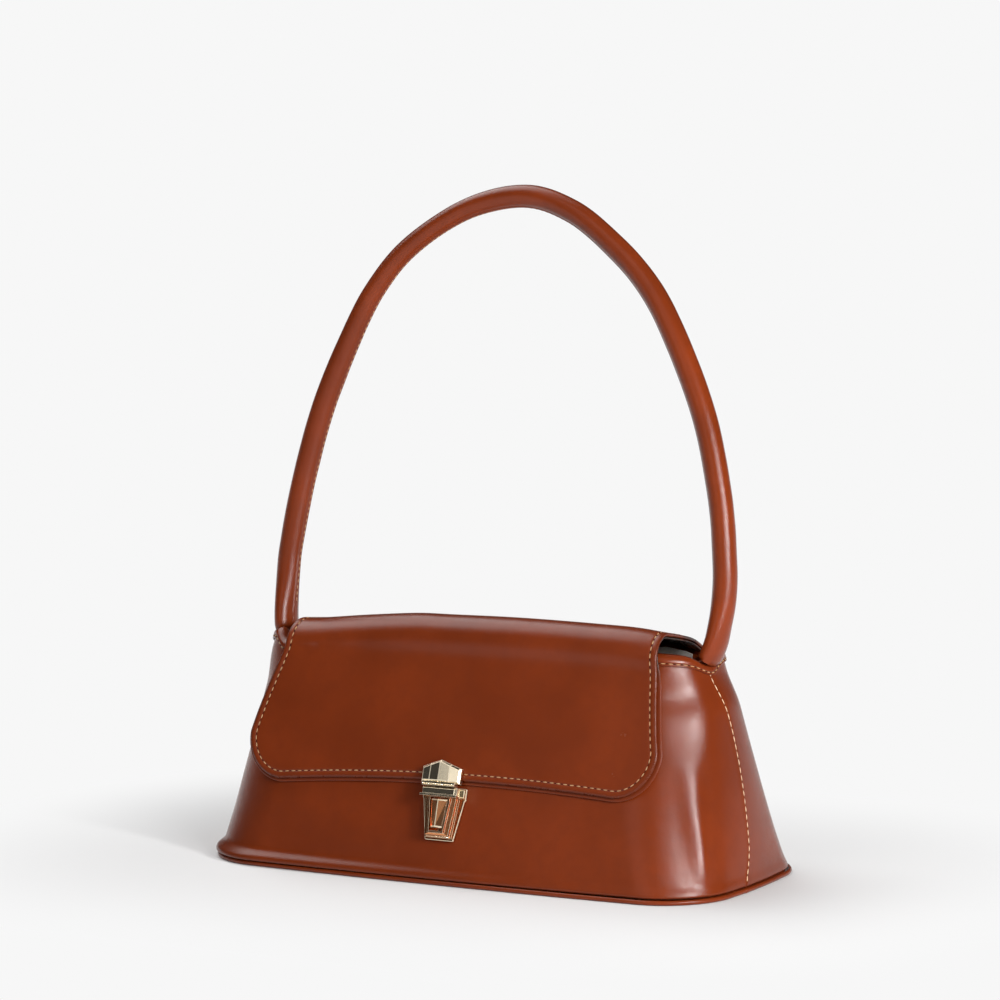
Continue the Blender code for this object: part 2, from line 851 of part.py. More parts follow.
def lock_cap(material):
    """The house-shaped cap on the flap, with its ridge, its neck and two posts through the flap."""
    seat = flap_clearance + 2 * flap_half_thickness + fit_gap
    half = cap_width / 2
    shoulder = cap_shoulder_height
    outline = [(-half, 0.0), (0.0, 0.0), (half, 0.0), (half, shoulder), (0.0, cap_height), (-half, shoulder)]
    back = [Vector((x, y, seat)) for x, y in outline]
    front = [Vector((x, y, seat + (cap_ridge_thickness if x == 0.0 else cap_side_thickness))) for x, y in outline]
    cap = ring_faceted("lock_cap", [back, front], material)
    neck_outline = box_outline(neck_width, 2 * cap_lift, 0.0, 0.0)
    neck = prism("cap_neck", neck_outline, seat + neck_set_back, seat + neck_thickness, material)
    join_solid(cap, place_in(cap_frame(), neck))
    reach = flap_clearance + fit_gap
    for post in cap_posts(post_radius, reach, seat + cap_side_thickness / 2, "post"):
        join_solid(cap, post)
    return place_in(cap_frame(), cap)


def cap_posts(radius, low, high, word):
    posts = []
    for hand in (-1, 1):
        outline = []
        for k in range(round_sides):
            angle = 2 * math.pi * k / round_sides
            outline.append((hand * post_spacing / 2 + radius * math.cos(angle),
                            cap_shoulder_height / 2 + radius * math.sin(angle)))
        name = "cap_" + word + ("_left" if hand < 0 else "_right")
        posts.append(place_in(cap_frame(), prism(name, outline, low, high, hidden_material())))
    return posts


def cap_plate(material, holes):
    """The plate on the flap's inner side that the cap's posts hold."""
    low = flap_clearance
    outline = box_outline(cap_plate_width, cap_plate_height, 0.0, cap_shoulder_height / 2)
    plate = place_in(cap_frame(), prism("cap_back_plate", outline, low + fit_gap / 2,
                                        low + fit_gap / 2 + cap_plate_thickness, material))
    for hole in holes:
        cut(plate, hole)
    return plate


def cap_plate_window():
    size = 4 * fit_gap
    outline = box_outline(cap_plate_width + size, cap_plate_height + size, 0.0, cap_shoulder_height / 2)
    return place_in(cap_frame(), prism("cap_plate_window", outline, -cut_overrun,
                                       flap_clearance + 2 * flap_half_thickness + cut_overrun,
                                       hidden_material()))


def lock_spring(material):
    """A small return spring under the button."""
    radius = (spring_diameter - spring_wire) / 2
    base = case_seat + fit_gap + spring_diameter / 2
    low = window_low - spring_pocket_depth + fit_gap + spring_wire / 2
    high = window_low + button_travel + button_clearance - fit_gap - spring_wire / 2
    curve = bpy.data.curves.new("lock_spring", "CURVE")
    curve.dimensions = "3D"
    curve.bevel_depth = spring_wire / 2
    curve.bevel_resolution = 1
    curve.use_fill_caps = True
    count = spring_turns * spring_points + 1
    line = curve.splines.new("POLY")
    line.points.add(count - 1)
    matrix = lock_frame()
    for i in range(count):
        angle = 2 * math.pi * i / spring_points
        place = matrix @ Vector((radius * math.cos(angle), low + (high - low) * i / (count - 1),
                                 base + radius * math.sin(angle)))
        line.points[i].co = (*place, 1.0)
    curve.materials.append(material)
    thing = bpy.data.objects.new("lock_spring", curve)
    bpy.context.scene.collection.objects.link(thing)
    return thing


def build_body(leather, edge, lining, board):
    wall_low = piping_lift + piping_diameter + fit_gap
    panel_drop = rim_thickness + fit_gap
    liner_inset = leather_thickness + stiffener_thickness + 2 * layer_gap
    board_low = base_panel_thickness + fit_gap
    inside_floor = board_low + base_board_thickness + fit_gap
    panels = []
    stiffeners = []
    for side, word in ((FRONT, "front"), (BACK, "back")):
        panels.append(wall_layer(word + "_panel", side, 0.0, leather_thickness, wall_low, panel_drop,
                                 panel_levels, leather))
        stiffeners.append(wall_layer(word + "_stiffener", side, leather_thickness + layer_gap, stiffener_thickness,
                                     inside_floor, 0.0, stiffener_levels, board))
        wall_layer(word + "_lining", side, liner_inset, lining_thickness, inside_floor, panel_drop,
                   panel_levels, lining)
        rim_binding(word + "_rim_binding", side, edge)
    base_plate("base_panel", 0.0, base_panel_thickness, piping_diameter - piping_overhang + fit_gap, leather)
    base_piping("base_piping", edge)
    base_plate("base_board", board_low, base_board_thickness, leather_thickness + 2 * fit_gap, board)
    base_plate("base_lining", inside_floor, lining_thickness, liner_inset + lining_thickness + fit_gap, lining)
    return panels, stiffeners


def build_lock(panels, stiffeners, brass, steel):
    front_panel = panels[0]
    front_stiffener = stiffeners[0]
    cutters = prong_cutters()
    lock_plate(brass)
    lock_washer(steel, cutters)
    for cutter in cutters:
        cut(front_panel, cutter)
    cut(front_stiffener, washer_window())
    lock_case(brass)
    button = lock_button(brass)
    put_origin(button, lock_frame() @ Vector((0.0, window_low, case_seat)))
    lock_spring(steel)


def build_flap(leather, lining, brass, steel):
    flap_seam_strip("flap_seam_strip", leather)
    top = flap_top_layer("flap_top_leather", flap_half_thickness, flap_leather_inner, True, 0.0, 0.0, leather)
    under = flap_top_layer("flap_top_lining", flap_lining_outer, -flap_half_thickness, False, flap_lining_margin,
                           flap_joint_gap, lining)
    front = flap_front_layer("flap_front_leather", flap_half_thickness, flap_leather_inner, True, 0.0, 0.0, leather)
    back = flap_front_layer("flap_front_lining", flap_lining_outer, -flap_half_thickness, False,
                            flap_lining_margin, flap_joint_gap, lining)
    holes = cap_posts(post_radius + fit_gap, -cut_overrun, flap_clearance + 2 * flap_half_thickness + cut_overrun,
                      "hole")
    for hole in holes:
        cut(front, hole)
    cut(back, cap_plate_window())
    cap = lock_cap(brass)
    plate = cap_plate(steel, holes)
    for piece in (top, under):
        put_origin(piece, Vector((0.0, *flap_hinge())))
    for piece in (front, back, cap, plate):
        put_origin(piece, Vector((0.0, *flap_fold())))


def build():
    clear_scene()
    leather = make_material("cognac leather", leather_colour, 0.32)
    edge = make_material("edge leather", edge_colour, 0.38)
    lining = make_material("lining fabric", lining_colour, 0.85)
    board = make_material("stiffening board", board_colour, 0.90)
    core = make_material("handle padding", core_colour, 0.90)
    brass = make_material("pale gold metal", brass_colour, 0.16, 1.0)
    steel = make_material("plain steel", steel_colour, 0.35, 1.0)
    panels, stiffeners = build_body(leather, edge, lining, board)
    build_lock(panels, stiffeners, brass, steel)
    build_flap(leather, lining, brass, steel)
    for piece in (handle_cover("handle_cover", leather), handle_core("handle_core", core)):
        put_origin(piece, handle_point(0.0, 0.0))
    handle_tab("handle_tab_left", -1, leather)
    handle_tab("handle_tab_right", 1, leather)


build()
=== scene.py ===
import math
from collections import namedtuple

import bmesh
import bpy
import numpy as np
from mathutils import Matrix, Vector, noise


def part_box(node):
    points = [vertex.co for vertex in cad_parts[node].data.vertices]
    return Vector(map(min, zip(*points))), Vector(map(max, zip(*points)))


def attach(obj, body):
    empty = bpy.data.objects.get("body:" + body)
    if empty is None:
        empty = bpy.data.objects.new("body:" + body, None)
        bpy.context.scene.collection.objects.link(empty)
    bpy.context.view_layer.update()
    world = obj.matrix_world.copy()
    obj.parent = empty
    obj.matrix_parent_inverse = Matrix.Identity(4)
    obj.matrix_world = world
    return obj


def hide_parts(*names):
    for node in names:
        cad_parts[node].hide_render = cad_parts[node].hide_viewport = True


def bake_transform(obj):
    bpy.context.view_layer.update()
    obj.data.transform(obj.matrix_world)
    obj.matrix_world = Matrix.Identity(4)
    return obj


bl_info = {
    "name": "Trapezoid Handbag",
    "version": (1, 0, 0),
    "blender": (4, 5, 0),
    "location": "View3D > Sidebar > Handbag",
    "description": "Leather handbag with one flap, a padded arched handle and a push lock",
    "category": "Add Mesh",
}

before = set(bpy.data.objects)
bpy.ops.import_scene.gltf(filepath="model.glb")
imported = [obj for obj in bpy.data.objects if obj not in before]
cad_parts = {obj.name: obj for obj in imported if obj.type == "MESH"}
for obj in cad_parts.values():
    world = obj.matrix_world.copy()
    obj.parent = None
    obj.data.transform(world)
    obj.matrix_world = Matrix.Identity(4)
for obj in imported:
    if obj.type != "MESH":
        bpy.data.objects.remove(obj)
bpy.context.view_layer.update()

FRONT = -1
BACK = 1
MM = 0.001
panels = ((FRONT, "front"), (BACK, "back"))
hands = ((1, "right"), (-1, "left"))


# Sizes that the layers share, in metres

base_length = 0.2732
base_depth = 0.1208
middle_length = 0.2572
middle_depth = 0.092
top_length = 0.2312
top_depths = {FRONT: 0.027, BACK: 0.0305}
seam_height = 0.0995
rim_heights = {FRONT: 0.111, BACK: 0.105}
rim_arch = 0.0035
rim_seam_rise = 0.0027
back_end_rise = 0.0043
dip_widths = {FRONT: 0.0100, BACK: 0.0078}
fit_gap = 0.0003
layer_gap = 0.0005
leather_thickness = 0.0014
stiffener_thickness = 0.0009
lining_thickness = 0.0006
rim_thickness = 0.0008
wall_low = 0.0026
base_leather_thickness = 0.0016
base_board_low = 0.0019
base_board_thickness = 0.0020
floor_height = 0.0042
wall_thickness = leather_thickness + stiffener_thickness + lining_thickness + 2 * layer_gap

flap_half_thickness = 0.00135
flap_leather_inner = -0.00015
flap_lining_outer = -0.00045
flap_clearance = 0.0004
flap_front_slope = 1.05
flap_split = 0.030
fold_radius = 0.01165
fold_centre_depth = 0.0165
fold_centre_height = 0.1055
hinge_depth = 0.030916
hinge_height = 0.1067

handle_pivot_height = 0.1056
handle_lean = math.radians(8.5)


def length_property(name, description, default):
    return bpy.props.FloatProperty(name=name, description=description, default=default, unit="LENGTH")


def level_property(name, description, default):
    return bpy.props.FloatProperty(name=name, description=description, default=default, min=0.0, max=1.0)


def colour_property(name, description, default):
    return bpy.props.FloatVectorProperty(
        name=name, description=description, default=default, size=3, subtype="COLOR", min=0.0, max=1.0)


class BodySizes(bpy.types.PropertyGroup):
    lip_flare: length_property("Lip flare", "How far the lower edge of the walls turns out", 1.5 * MM)
    softness: length_property("Softness", "Height of the soft waves in the leather", 0.34 * MM)
    seam_lap: length_property("Seam lap", "Step of the front leather at the side seam", 0.35 * MM)
    welt_radius: length_property("Welt radius", "Radius of the rolled edge under the walls", 1.1 * MM)
    welt_overhang: length_property("Welt overhang", "Reach of the rolled edge beyond the base", 0.9 * MM)


class FlapSizes(bpy.types.PropertyGroup):
    hinge_half_width: length_property("Hinge half width", "Half width at the back seam", 0.0940)
    fold_half_width: length_property("Fold half width", "Half width over the front rim", 0.0995)
    low_half_width: length_property("Low half width", "Half width above the bottom corners", 0.1083)
    low_shift: length_property("Low shift", "How far the flap hangs to the right at the bottom", -1.8 * MM)
    bottom_skew: length_property("Bottom skew", "How much higher the bottom edge is at the right", 4.2 * MM)
    corner_radius: length_property("Corner radius", "Radius of the bottom corners", 0.0200)
    bottom_height: length_property("Bottom height", "Height of the bottom edge at the left corner", 0.0412)
    bottom_arch: length_property("Bottom arch", "Rise of the bottom edge at its middle", 3.6 * MM)
    lining_margin: length_property("Lining margin", "How far the facing shows beyond the leather", 1.5 * MM)
    stitch_inset: length_property("Stitch inset", "Distance of the stitches from the leather edge", 3.2 * MM)


class HandleSizes(bpy.types.PropertyGroup):
    radius: length_property("Roll radius", "Radius of the padded roll", 5.6 * MM)
    cover: length_property("Cover thickness", "Thickness of the leather round the core", 1.3 * MM)
    root_spread: length_property("Root spread", "Half distance between the two roots", 0.1148)
    spread: length_property("Spread", "Half width of the arch", 0.1184)
    rise: length_property("Rise", "Height of the arch above its pivot", 0.2087)
    seam_width: length_property("Seam width", "Width of the raised seam inside the arch", 2.6 * MM)
    seam_lift: length_property("Seam lift", "Height of the raised seam", 0.45 * MM)


class ThreadSizes(bpy.types.PropertyGroup):
    pitch: length_property("Stitch pitch", "Distance between stitches", 3.45 * MM)
    length: length_property("Stitch length", "Visible length of one stitch", 2.15 * MM)
    radius: length_property("Thread radius", "Radius of the thread", 0.25 * MM)


class StageLook(bpy.types.PropertyGroup):
    pale: level_property("Background", "Plain level of the floor and the background", 0.93)
    paint: level_property("Floor paint", "How pale the floor is where it takes light and shadow", 0.795)
    ambient: level_property("Ambient", "Level of the even light from all round", 0.10)
    overhead: level_property("Overhead", "Level of the ceiling in reflections", 0.05)


class FinishColours(bpy.types.PropertyGroup):
    leather: colour_property("Leather", "Main colour of the smooth leather", (0.172, 0.026, 0.0048))
    # This colour also paints the shade along the pressed stitch lines and in the needle holes.
    leather_edge: colour_property("Leather edge", "Burnished edges and turned rims", (0.105, 0.0165, 0.0038))
    # Painted shade: the facing is brown leather, as its front margin shows, and this dark colour paints the
    # shade under the flap.
    under_flap: colour_property("Under flap", "Dark facing on the flap's inner side", (0.035, 0.022, 0.016))
    lining: colour_property("Lining", "Pale fabric inside the bag", (0.74, 0.68, 0.63))
    board: colour_property("Board", "Stiffening board", (0.30, 0.22, 0.14))
    padding: colour_property("Padding", "Cord inside the handle", (0.62, 0.58, 0.50))
    thread: colour_property("Thread", "Stitching thread", (0.56, 0.33, 0.15))
    pale_thread: colour_property("Pale thread", "Thread of the side seams", (0.95, 0.66, 0.40))
    brass: colour_property("Pale gold", "Polished faces of the lock", (0.88, 0.76, 0.56))
    # Painted reflection: the copper of the lock's lower faces stands in for the leather that the pale gold
    # reflects, and darkens them as painted shade.
    brass_recess: colour_property("Lock recesses", "Lower faces of the lock", (0.70, 0.30, 0.13))
    steel: colour_property("Steel", "Hidden spring and plates", (0.55, 0.55, 0.56))


# Shader building

class Socket:
    """A shader value with the usual arithmetic on it."""

    def __init__(self, tree, socket):
        self.tree = tree
        self.socket = socket

    def __add__(self, other):
        return self.tree.maths("ADD", self, other)

    def __radd__(self, other):
        return self + other

    def __sub__(self, other):
        return self.tree.maths("SUBTRACT", self, other)

    def __rsub__(self, other):
        return self.tree.maths("SUBTRACT", other, self)

    def __mul__(self, other):
        return self.tree.maths("MULTIPLY", self, other)

    def clamped(self):
        return self.tree.maths("ADD", self, 0.0, clamp=True)

    def between(self, low, high):
        """0 below low, 1 above high, and smooth between them."""
        return self.tree.node("ShaderNodeMapRange", {"interpolation_type": "SMOOTHSTEP"},
                              {"Value": self, "From Min": low, "From Max": high}).out("Result")


class Outputs:
    """A node whose outputs are asked for by name or number."""

    def __init__(self, tree, node):
        self.tree = tree
        self.node = node

    def out(self, name):
        return Socket(self.tree, self.node.outputs[name])


class ShaderTree:
    """The nodes of one material or of the world."""

    def __init__(self, owner):
        self.owner = owner
        owner.use_nodes = True
        self.nodes = owner.node_tree.nodes
        self.links = owner.node_tree.links
        self.nodes.clear()

    def node(self, kind, settings=None, sockets=None):
        item = self.nodes.new(kind)
        for label, setting in (settings or {}).items():
            setattr(item, label, setting)
        for label, content in (sockets or {}).items():
            target = item.inputs[label]
            if isinstance(content, Socket):
                self.links.new(content.socket, target)
            else:
                target.default_value = content
        return Outputs(self, item)

    def maths(self, operation, *values, clamp=False):
        settings = {"operation": operation, "use_clamp": clamp}
        return self.node("ShaderNodeMath", settings, dict(enumerate(values))).out("Value")

    def place(self):
        """The object's own coordinates, in metres."""
        return self.node("ShaderNodeTexCoord").out("Object")

    def attribute(self, name, output="Fac"):
        return self.node("ShaderNodeAttribute", {"attribute_name": name}).out(output)

    def scaled(self, place, scale):
        return self.node("ShaderNodeMapping", None, {"Vector": place, "Scale": scale}).out("Vector")

    def noise(self, place, scale, detail=2.0, roughness=0.5):
        return self.node("ShaderNodeTexNoise", None, {
            "Vector": place, "Scale": scale, "Detail": detail, "Roughness": roughness}).out("Fac")

    def cells(self, place, scale):
        return self.node("ShaderNodeTexVoronoi", {"feature": "DISTANCE_TO_EDGE"}, {
            "Vector": place, "Scale": scale}).out("Distance")

    def wave(self, direction, place, scale, distortion=0.0):
        return self.node("ShaderNodeTexWave", {"bands_direction": direction}, {
            "Vector": place, "Scale": scale, "Distortion": distortion}).out("Fac")

    def vector(self, operation, *vectors):
        return self.node("ShaderNodeVectorMath", {"operation": operation}, dict(enumerate(vectors)))

    def mix(self, factor, *colours):
        """A colour between two colours."""
        first, second = (item if isinstance(item, Socket) else (*item, 1.0) for item in colours)
        return self.node("ShaderNodeMix", {"data_type": "RGBA"}, {0: factor, 6: first, 7: second}).out(2)

    def bump(self, height, strength, distance, normal=None):
        sockets = {"Height": height, "Strength": strength, "Distance": distance}
        if normal is not None:
            sockets["Normal"] = normal
        return self.node("ShaderNodeBump", None, sockets).out("Normal")

    def surface(self, sockets):
        """Ends the material in one shader with these inputs."""
        shader = self.node("ShaderNodeBsdfPrincipled", None, sockets)
        self.node("ShaderNodeOutputMaterial", None, {"Surface": shader.out("BSDF")})
        return self.owner


def new_tree(name):
    return ShaderTree(bpy.data.materials.new(name))


def times(colour, factor):
    return tuple(channel * factor for channel in colour)


def leather_finish(name, colour, edge_colour, gloss=0.0, grain=1.0):
    """Smooth finished leather with a fine grain, slow colour changes, darker burnish along its edges and
    painted shade along its pressed stitch lines.
    """
    tree = new_tree(name)
    place = tree.attribute("rest_place", "Vector")
    # Darkness along the edges, which is burnish, and along the stitch lines, which is painted shade.
    edge = tree.attribute("edge_wear")
    cloud = tree.noise(place, 22.0, 3.0)
    mottle = tree.noise(place, 160.0, 3.0, 0.6)
    tone = tree.mix(cloud.between(0.30, 0.72), times(colour, 0.86), times(colour, 1.12))
    tone = tree.mix(mottle.between(0.35, 0.75) * 0.35, tone, times(colour, 0.80))
    tone = tree.mix((edge * 0.85).clamped(), tone, edge_colour)
    pores = tree.cells(place, 2100.0)
    fine = tree.noise(place, 1050.0, 3.0, 0.65)
    soft = tree.noise(place, 260.0, 2.0)
    height = pores.between(0.0, 0.25) * 0.35 + fine * 0.65
    normal = tree.bump(height, 0.42 * grain, 0.00011)
    normal = tree.bump(soft, 0.10, 0.0004, normal)
    roughness = 0.235 - 0.04 * gloss + (mottle - 0.5) * 0.14 + (cloud - 0.5) * 0.05 + edge * 0.05
    return tree.surface({
        "Base Color": tone, "Roughness": roughness, "Normal": normal,
        "Specular IOR Level": 0.30})


def thread_finish(name, colour):
    """Twisted thread, with its strands as fine slanting bands."""
    tree = new_tree(name)
    strand = tree.wave("DIAGONAL", tree.place(), 900.0, 1.0)
    cloud = tree.noise(tree.place(), 120.0)
    tone = tree.mix(strand, times(colour, 0.72), colour)
    tone = tree.mix(cloud * 0.4, tone, times(colour, 0.80))
    return tree.surface({
        "Base Color": tone, "Roughness": 0.62 - strand * 0.08,
        "Normal": tree.bump(strand, 0.5, 0.00008)})


def hole_shade_finish(name, colour):
    """Painted shade for the dark blob that stands in for a needle hole."""
    tree = new_tree(name)
    tone = tree.mix(tree.noise(tree.place(), 900.0), times(colour, 0.25), times(colour, 0.5))
    return tree.surface({"Base Color": tone, "Roughness": 0.85, "Specular IOR Level": 0.1})


def weave_finish(name, colour):
    """Woven lining: two crossing sets of threads with soft colour changes."""
    tree = new_tree(name)
    place = tree.place()
    threads = 2600.0 / 6
    weave = tree.wave("X", place, threads) * tree.wave("Z", place, threads)
    cloud = tree.noise(place, 40.0, 3.0)
    tone = tree.mix(weave, times(colour, 0.72), times(colour, 1.08))
    tone = tree.mix(cloud * 0.35, tone, times(colour, 0.85))
    return tree.surface({
        "Base Color": tone, "Roughness": 0.82 - weave * 0.08, "Normal": tree.bump(weave, 0.5, 0.0002),
        "Specular IOR Level": 0.25, "Sheen Weight": 0.25})


def metal_finish(name, colour, roughness, streak=0.05, metallic=1.0):
    """Plated metal with faint polishing streaks."""
    tree = new_tree(name)
    place = tree.place()
    cloud = tree.noise(place, 320.0, 3.0)
    brushed = tree.noise(tree.scaled(place, (1.0, 12.0, 12.0)), 900.0, 2.0)
    tone = tree.mix(cloud, times(colour, 0.92), times(colour, 1.03))
    return tree.surface({
        "Base Color": tone, "Metallic": metallic,
        "Roughness": roughness + (brushed - 0.5) * streak, "Normal": tree.bump(cloud, 0.05, 0.0001)})


def fibre_finish(name, colour):
    """Pressed or spun fibres, for the boards and the padding."""
    tree = new_tree(name)
    place = tree.place()
    fibres = tree.noise(tree.scaled(place, (1.0, 1.0, 5.0)), 700.0, 4.0, 0.7)
    tone = tree.mix(fibres, times(colour, 0.7), times(colour, 1.05))
    return tree.surface({"Base Color": tone, "Roughness": 0.9 - fibres * 0.1,
                         "Normal": tree.bump(fibres, 0.6, 0.0003)})


def finish(name):
    """The named material, made on its first use."""
    found = bpy.data.materials.get(name)
    if found:
        return found
    colours = bpy.context.scene.bag_finishes
    leather = colours.leather
    edge = colours.leather_edge
    makers = {
        "smooth_leather": lambda: leather_finish(name, leather, edge),
        "handle_leather": lambda: leather_finish(name, times(leather, 1.12), edge, 0.3),
        "rim_leather": lambda: leather_finish(name, times(leather, 1.05), edge, 0.4, 0.8),
        # The facing's own brown is its edge colour; its dark base colour is painted shade.
        "under_flap": lambda: leather_finish(name, colours.under_flap, times(leather, 0.9), -0.8, 1.5),
        "thread": lambda: thread_finish(name, colours.thread),
        "pale_thread": lambda: thread_finish(name, colours.pale_thread),
        "needle_hole": lambda: hole_shade_finish(name, edge),
        "lining_weave": lambda: weave_finish(name, colours.lining),
        "stiff_board": lambda: fibre_finish(name, colours.board),
        "padding_cord": lambda: fibre_finish(name, colours.padding),
        "pale_gold": lambda: metal_finish(name, colours.brass, 0.16),
        # The bevels take a paler, partly diffuse gold: a painted highlight along the lock's edges.
        "gold_edge": lambda: metal_finish(name, times(colours.brass, 1.1), 0.36, 0.05, 0.6),
        # The lock's lower faces: a painted copper reflection of the leather and painted shade, not a patina.
        "gold_recess": lambda: metal_finish(name, colours.brass_recess, 0.22, 0.10),
        "satin_steel": lambda: metal_finish(name, colours.steel, 0.32, 0.15),
    }
    return makers[name]()


# Mesh building

def even(first, last, count):
    """Evenly spaced values from the first to the last."""
    return [first + (last - first) * i / (count - 1) for i in range(count)]


def around(count):
    """Evenly spaced angles round a circle."""
    return even(0.0, 2 * math.pi, count + 1)[:-1]


def smooth_step(value, low, high):
    """0 below low, 1 above high, and smooth between them."""
    share = min(max((value - low) / (high - low), 0.0), 1.0)
    return share * share * (3 - 2 * share)


def bell(value, centre, width):
    """1 at the centre, falling to about a third one width away and to nothing beyond."""
    return math.exp(-((value - centre) / width) ** 2)


def through(table, place):
    """A smooth curve through a table of places and values."""
    places = [row[0] for row in table]
    values = [row[1] for row in table]
    if place <= places[0]:
        return values[0]
    if place >= places[-1]:
        return values[-1]
    i = max(k for k in range(len(places) - 1) if places[k] <= place)
    step = places[i + 1] - places[i]
    share = (place - places[i]) / step

    def slope(k):
        low = max(k - 1, 0)
        high = min(k + 1, len(places) - 1)
        return (values[high] - values[low]) / (places[high] - places[low])

    a = values[i]
    b = values[i + 1]
    first = slope(i) * step
    last = slope(i + 1) * step
    square = share * share
    cube = square * share
    return (a * (2 * cube - 3 * square + 1) + first * (cube - 2 * square + share)
            + b * (3 * square - 2 * cube) + last * (cube - square))


def make_piece(name, points, faces, material, edge=None, sharp=40.0):
    """A closed piece with its resting places kept as an attribute, so its grain moves with it."""
    mesh = bpy.data.meshes.new(name)
    mesh.from_pydata([tuple(point) for point in points], [], faces)
    mesh.update()
    builder = bmesh.new()
    builder.from_mesh(mesh)
    bmesh.ops.recalc_face_normals(builder, faces=builder.faces)
    builder.to_mesh(mesh)
    builder.free()
    keep_rest_place(mesh)
    wear = mesh.attributes.new("edge_wear", "FLOAT", "POINT")
    wear.data.foreach_set("value", [0.0] * len(points) if edge is None else edge)
    mesh.shade_smooth()
    mesh.set_sharp_from_angle(angle=math.radians(sharp))
    mesh.materials.append(material)
    thing = bpy.data.objects.new(name, mesh)
    bpy.context.scene.collection.objects.link(thing)
    return thing


def keep_rest_place(mesh):
    places = np.zeros(len(mesh.vertices) * 3, np.float32)
    mesh.vertices.foreach_get("co", places)
    rest = mesh.attributes.new("rest_place", "FLOAT_VECTOR", "POINT")
    rest.data.foreach_set("vector", places)


def ladder(start, count, flip):
    """Quads that close a ring by joining its first half to its second half."""
    quads = []
    for k in range(count // 2 - 1):
        quad = (start + k, start + count - 1 - k, start + count - 2 - k, start + k + 1)
        quads.append(tuple(reversed(quad)) if flip else quad)
    return quads


def loft(name, rings, material, edge=None, closed=False, sharp=40.0):
    """A skin over a run of closed rings, whose two end rings are closed by ladders."""
    count = len(rings[0])
    points = [point for ring in rings for point in ring]
    faces = []
    for i in range(len(rings) if closed else len(rings) - 1):
        a = i * count
        b = ((i + 1) % len(rings)) * count
        for k in range(count):
            m = (k + 1) % count
            faces.append((a + k, a + m, b + m, b + k))
    if not closed:
        faces += ladder(0, count, False)
        faces += ladder((len(rings) - 1) * count, count, True)
    wear = None if edge is None else [value for ring in edge for value in ring]
    return make_piece(name, points, faces, material, wear, sharp)


def put(thing, body, slot, *nodes):
    """Gives the piece its body and hides the nodes it stands for. The slot is not used."""
    if body:
        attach(thing, body)
    if nodes:
        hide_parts(*nodes)


# Body

def blend_sizes(base, middle, top, share):
    """A size that bows between the base and the top, through its middle value half way up."""
    return base + (top - base) * share + (2 * middle - base - top) * 2 * share * (1 - share)


# Radius of the corners and crowns of the ends and the sides, at the base, in the middle and at the top
corner_radii = (0.028, 0.027, 0.017)
end_crowns = (0.0050, 0.0126, 0.0065)
side_crowns = (0.0034, 0.0022, 0.0004)
Section = namedtuple("Section", "half_length half_depth radius end_crown side_crown")


def wall_section(side, height):
    """Half length, half depth, corner radius and the two crowns of the body at one height."""
    share = height / seam_height
    half_length = blend_sizes(base_length / 2, middle_length / 2, top_length / 2, share)
    half_depth = blend_sizes(base_depth / 2, middle_depth / 2, top_depths[side], share)
    crowns = (blend_sizes(*sizes, share) for sizes in (corner_radii, end_crowns, side_crowns))
    return Section(half_length, half_depth, *crowns)


seam_places = [0.0, 0.15, 0.3, 0.5, 0.8, 1.2, 1.6, 1.9, 2.1, 2.3, 2.6, 3.0, 3.6, 4.6, 6.0]
end_steps = 6
corner_steps = 22
side_steps = 26


def column_places():
    """Places round half the outline, from the right seam over the middle of the panel to the left seam."""
    quarter = [("seam", place * MM) for place in seam_places]
    quarter += [("end", (i + 1) / (end_steps + 1)) for i in range(end_steps)]
    quarter += [("corner", i / corner_steps) for i in range(corner_steps)]
    quarter += [("side", i / side_steps) for i in range(side_steps)]
    places = [(kind, share, 1) for kind, share in quarter]
    places.append(("side", 1.0, 1))
    places += [(kind, share, -1) for kind, share in reversed(quarter)]
    return places


# How far the side seam swings towards the front, in millimetres, at some heights in metres
seam_swings = ((0.0, 14.5), (0.003, 13.2), (0.0094, 9.6), (0.0177, 6.2), (0.025, 4.8), (0.0376, 3.2),
               (0.051, 1.8), (0.064, 0.9), (0.075, 0.5), (0.086, 1.1), (0.098, 2.5), (0.112, 2.8))


def seam_shift(height):
    """How far the side seam lies towards the front at a height."""
    return through(seam_swings, height) * MM


def outline_spot(section, side, height, kind, share):
    """Place on the outer face over one quarter of the outline, and the direction out of the wall."""
    half_length, half_depth, radius, end_crown, side_crown = section
    if kind in ("seam", "end"):
        seam = -side * seam_shift(height)
        near = seam_places[-1] * MM
        x = half_length
        y = seam + share if kind == "seam" else seam + near + (half_depth - radius - seam - near) * share
        normal = Vector((1.0, 0.0))
    elif kind == "corner":
        angle = share * math.pi / 2
        x = half_length - radius + radius * math.cos(angle)
        y = half_depth - radius + radius * math.sin(angle)
        normal = Vector((math.cos(angle), math.sin(angle)))
    else:
        x = (half_length - radius) * (1 - share)
        y = half_depth
        normal = Vector((0.0, 1.0))
    crown = end_crown * (y / half_depth) ** 2
    if kind == "side":
        crown *= 1 - share
    spot = Vector((x - crown, y - side_crown * (x / half_length) ** 2))
    end_slope = 2 * end_crown * y / half_depth ** 2
    side_slope = 2 * side_crown * x / half_length ** 2
    leaned = Vector((normal.x + normal.y * side_slope, normal.y + normal.x * end_slope))
    return spot, leaned.normalized()


def wall_lean(side):
    """How much longer a level step through the leaning wall is than one square to it."""
    return math.hypot(1.0, (base_depth / 2 - top_depths[side]) / seam_height)


def soft_wave(x, y, height):
    """Slow waves of soft leather, which fade out at the base and the rim."""
    sizes = bpy.context.scene.bag_body
    fade = smooth_step(height, 0.004, 0.03) * (1 - 0.5 * smooth_step(height, 0.07, 0.1))
    slow = noise.noise(Vector((x, y, height * 1.3)) / 0.042)
    quick = noise.noise(Vector((x, y, height)) / 0.016 + Vector((3.1, 7.7, 1.9)))
    return sizes.softness * fade * (slow + 0.22 * quick)


top_lean = 2.3 * MM
lean_heights = (0.080, 0.098)


def top_shift(height):
    """The soft top leans a little to the left."""
    return -top_lean * smooth_step(height, *lean_heights)


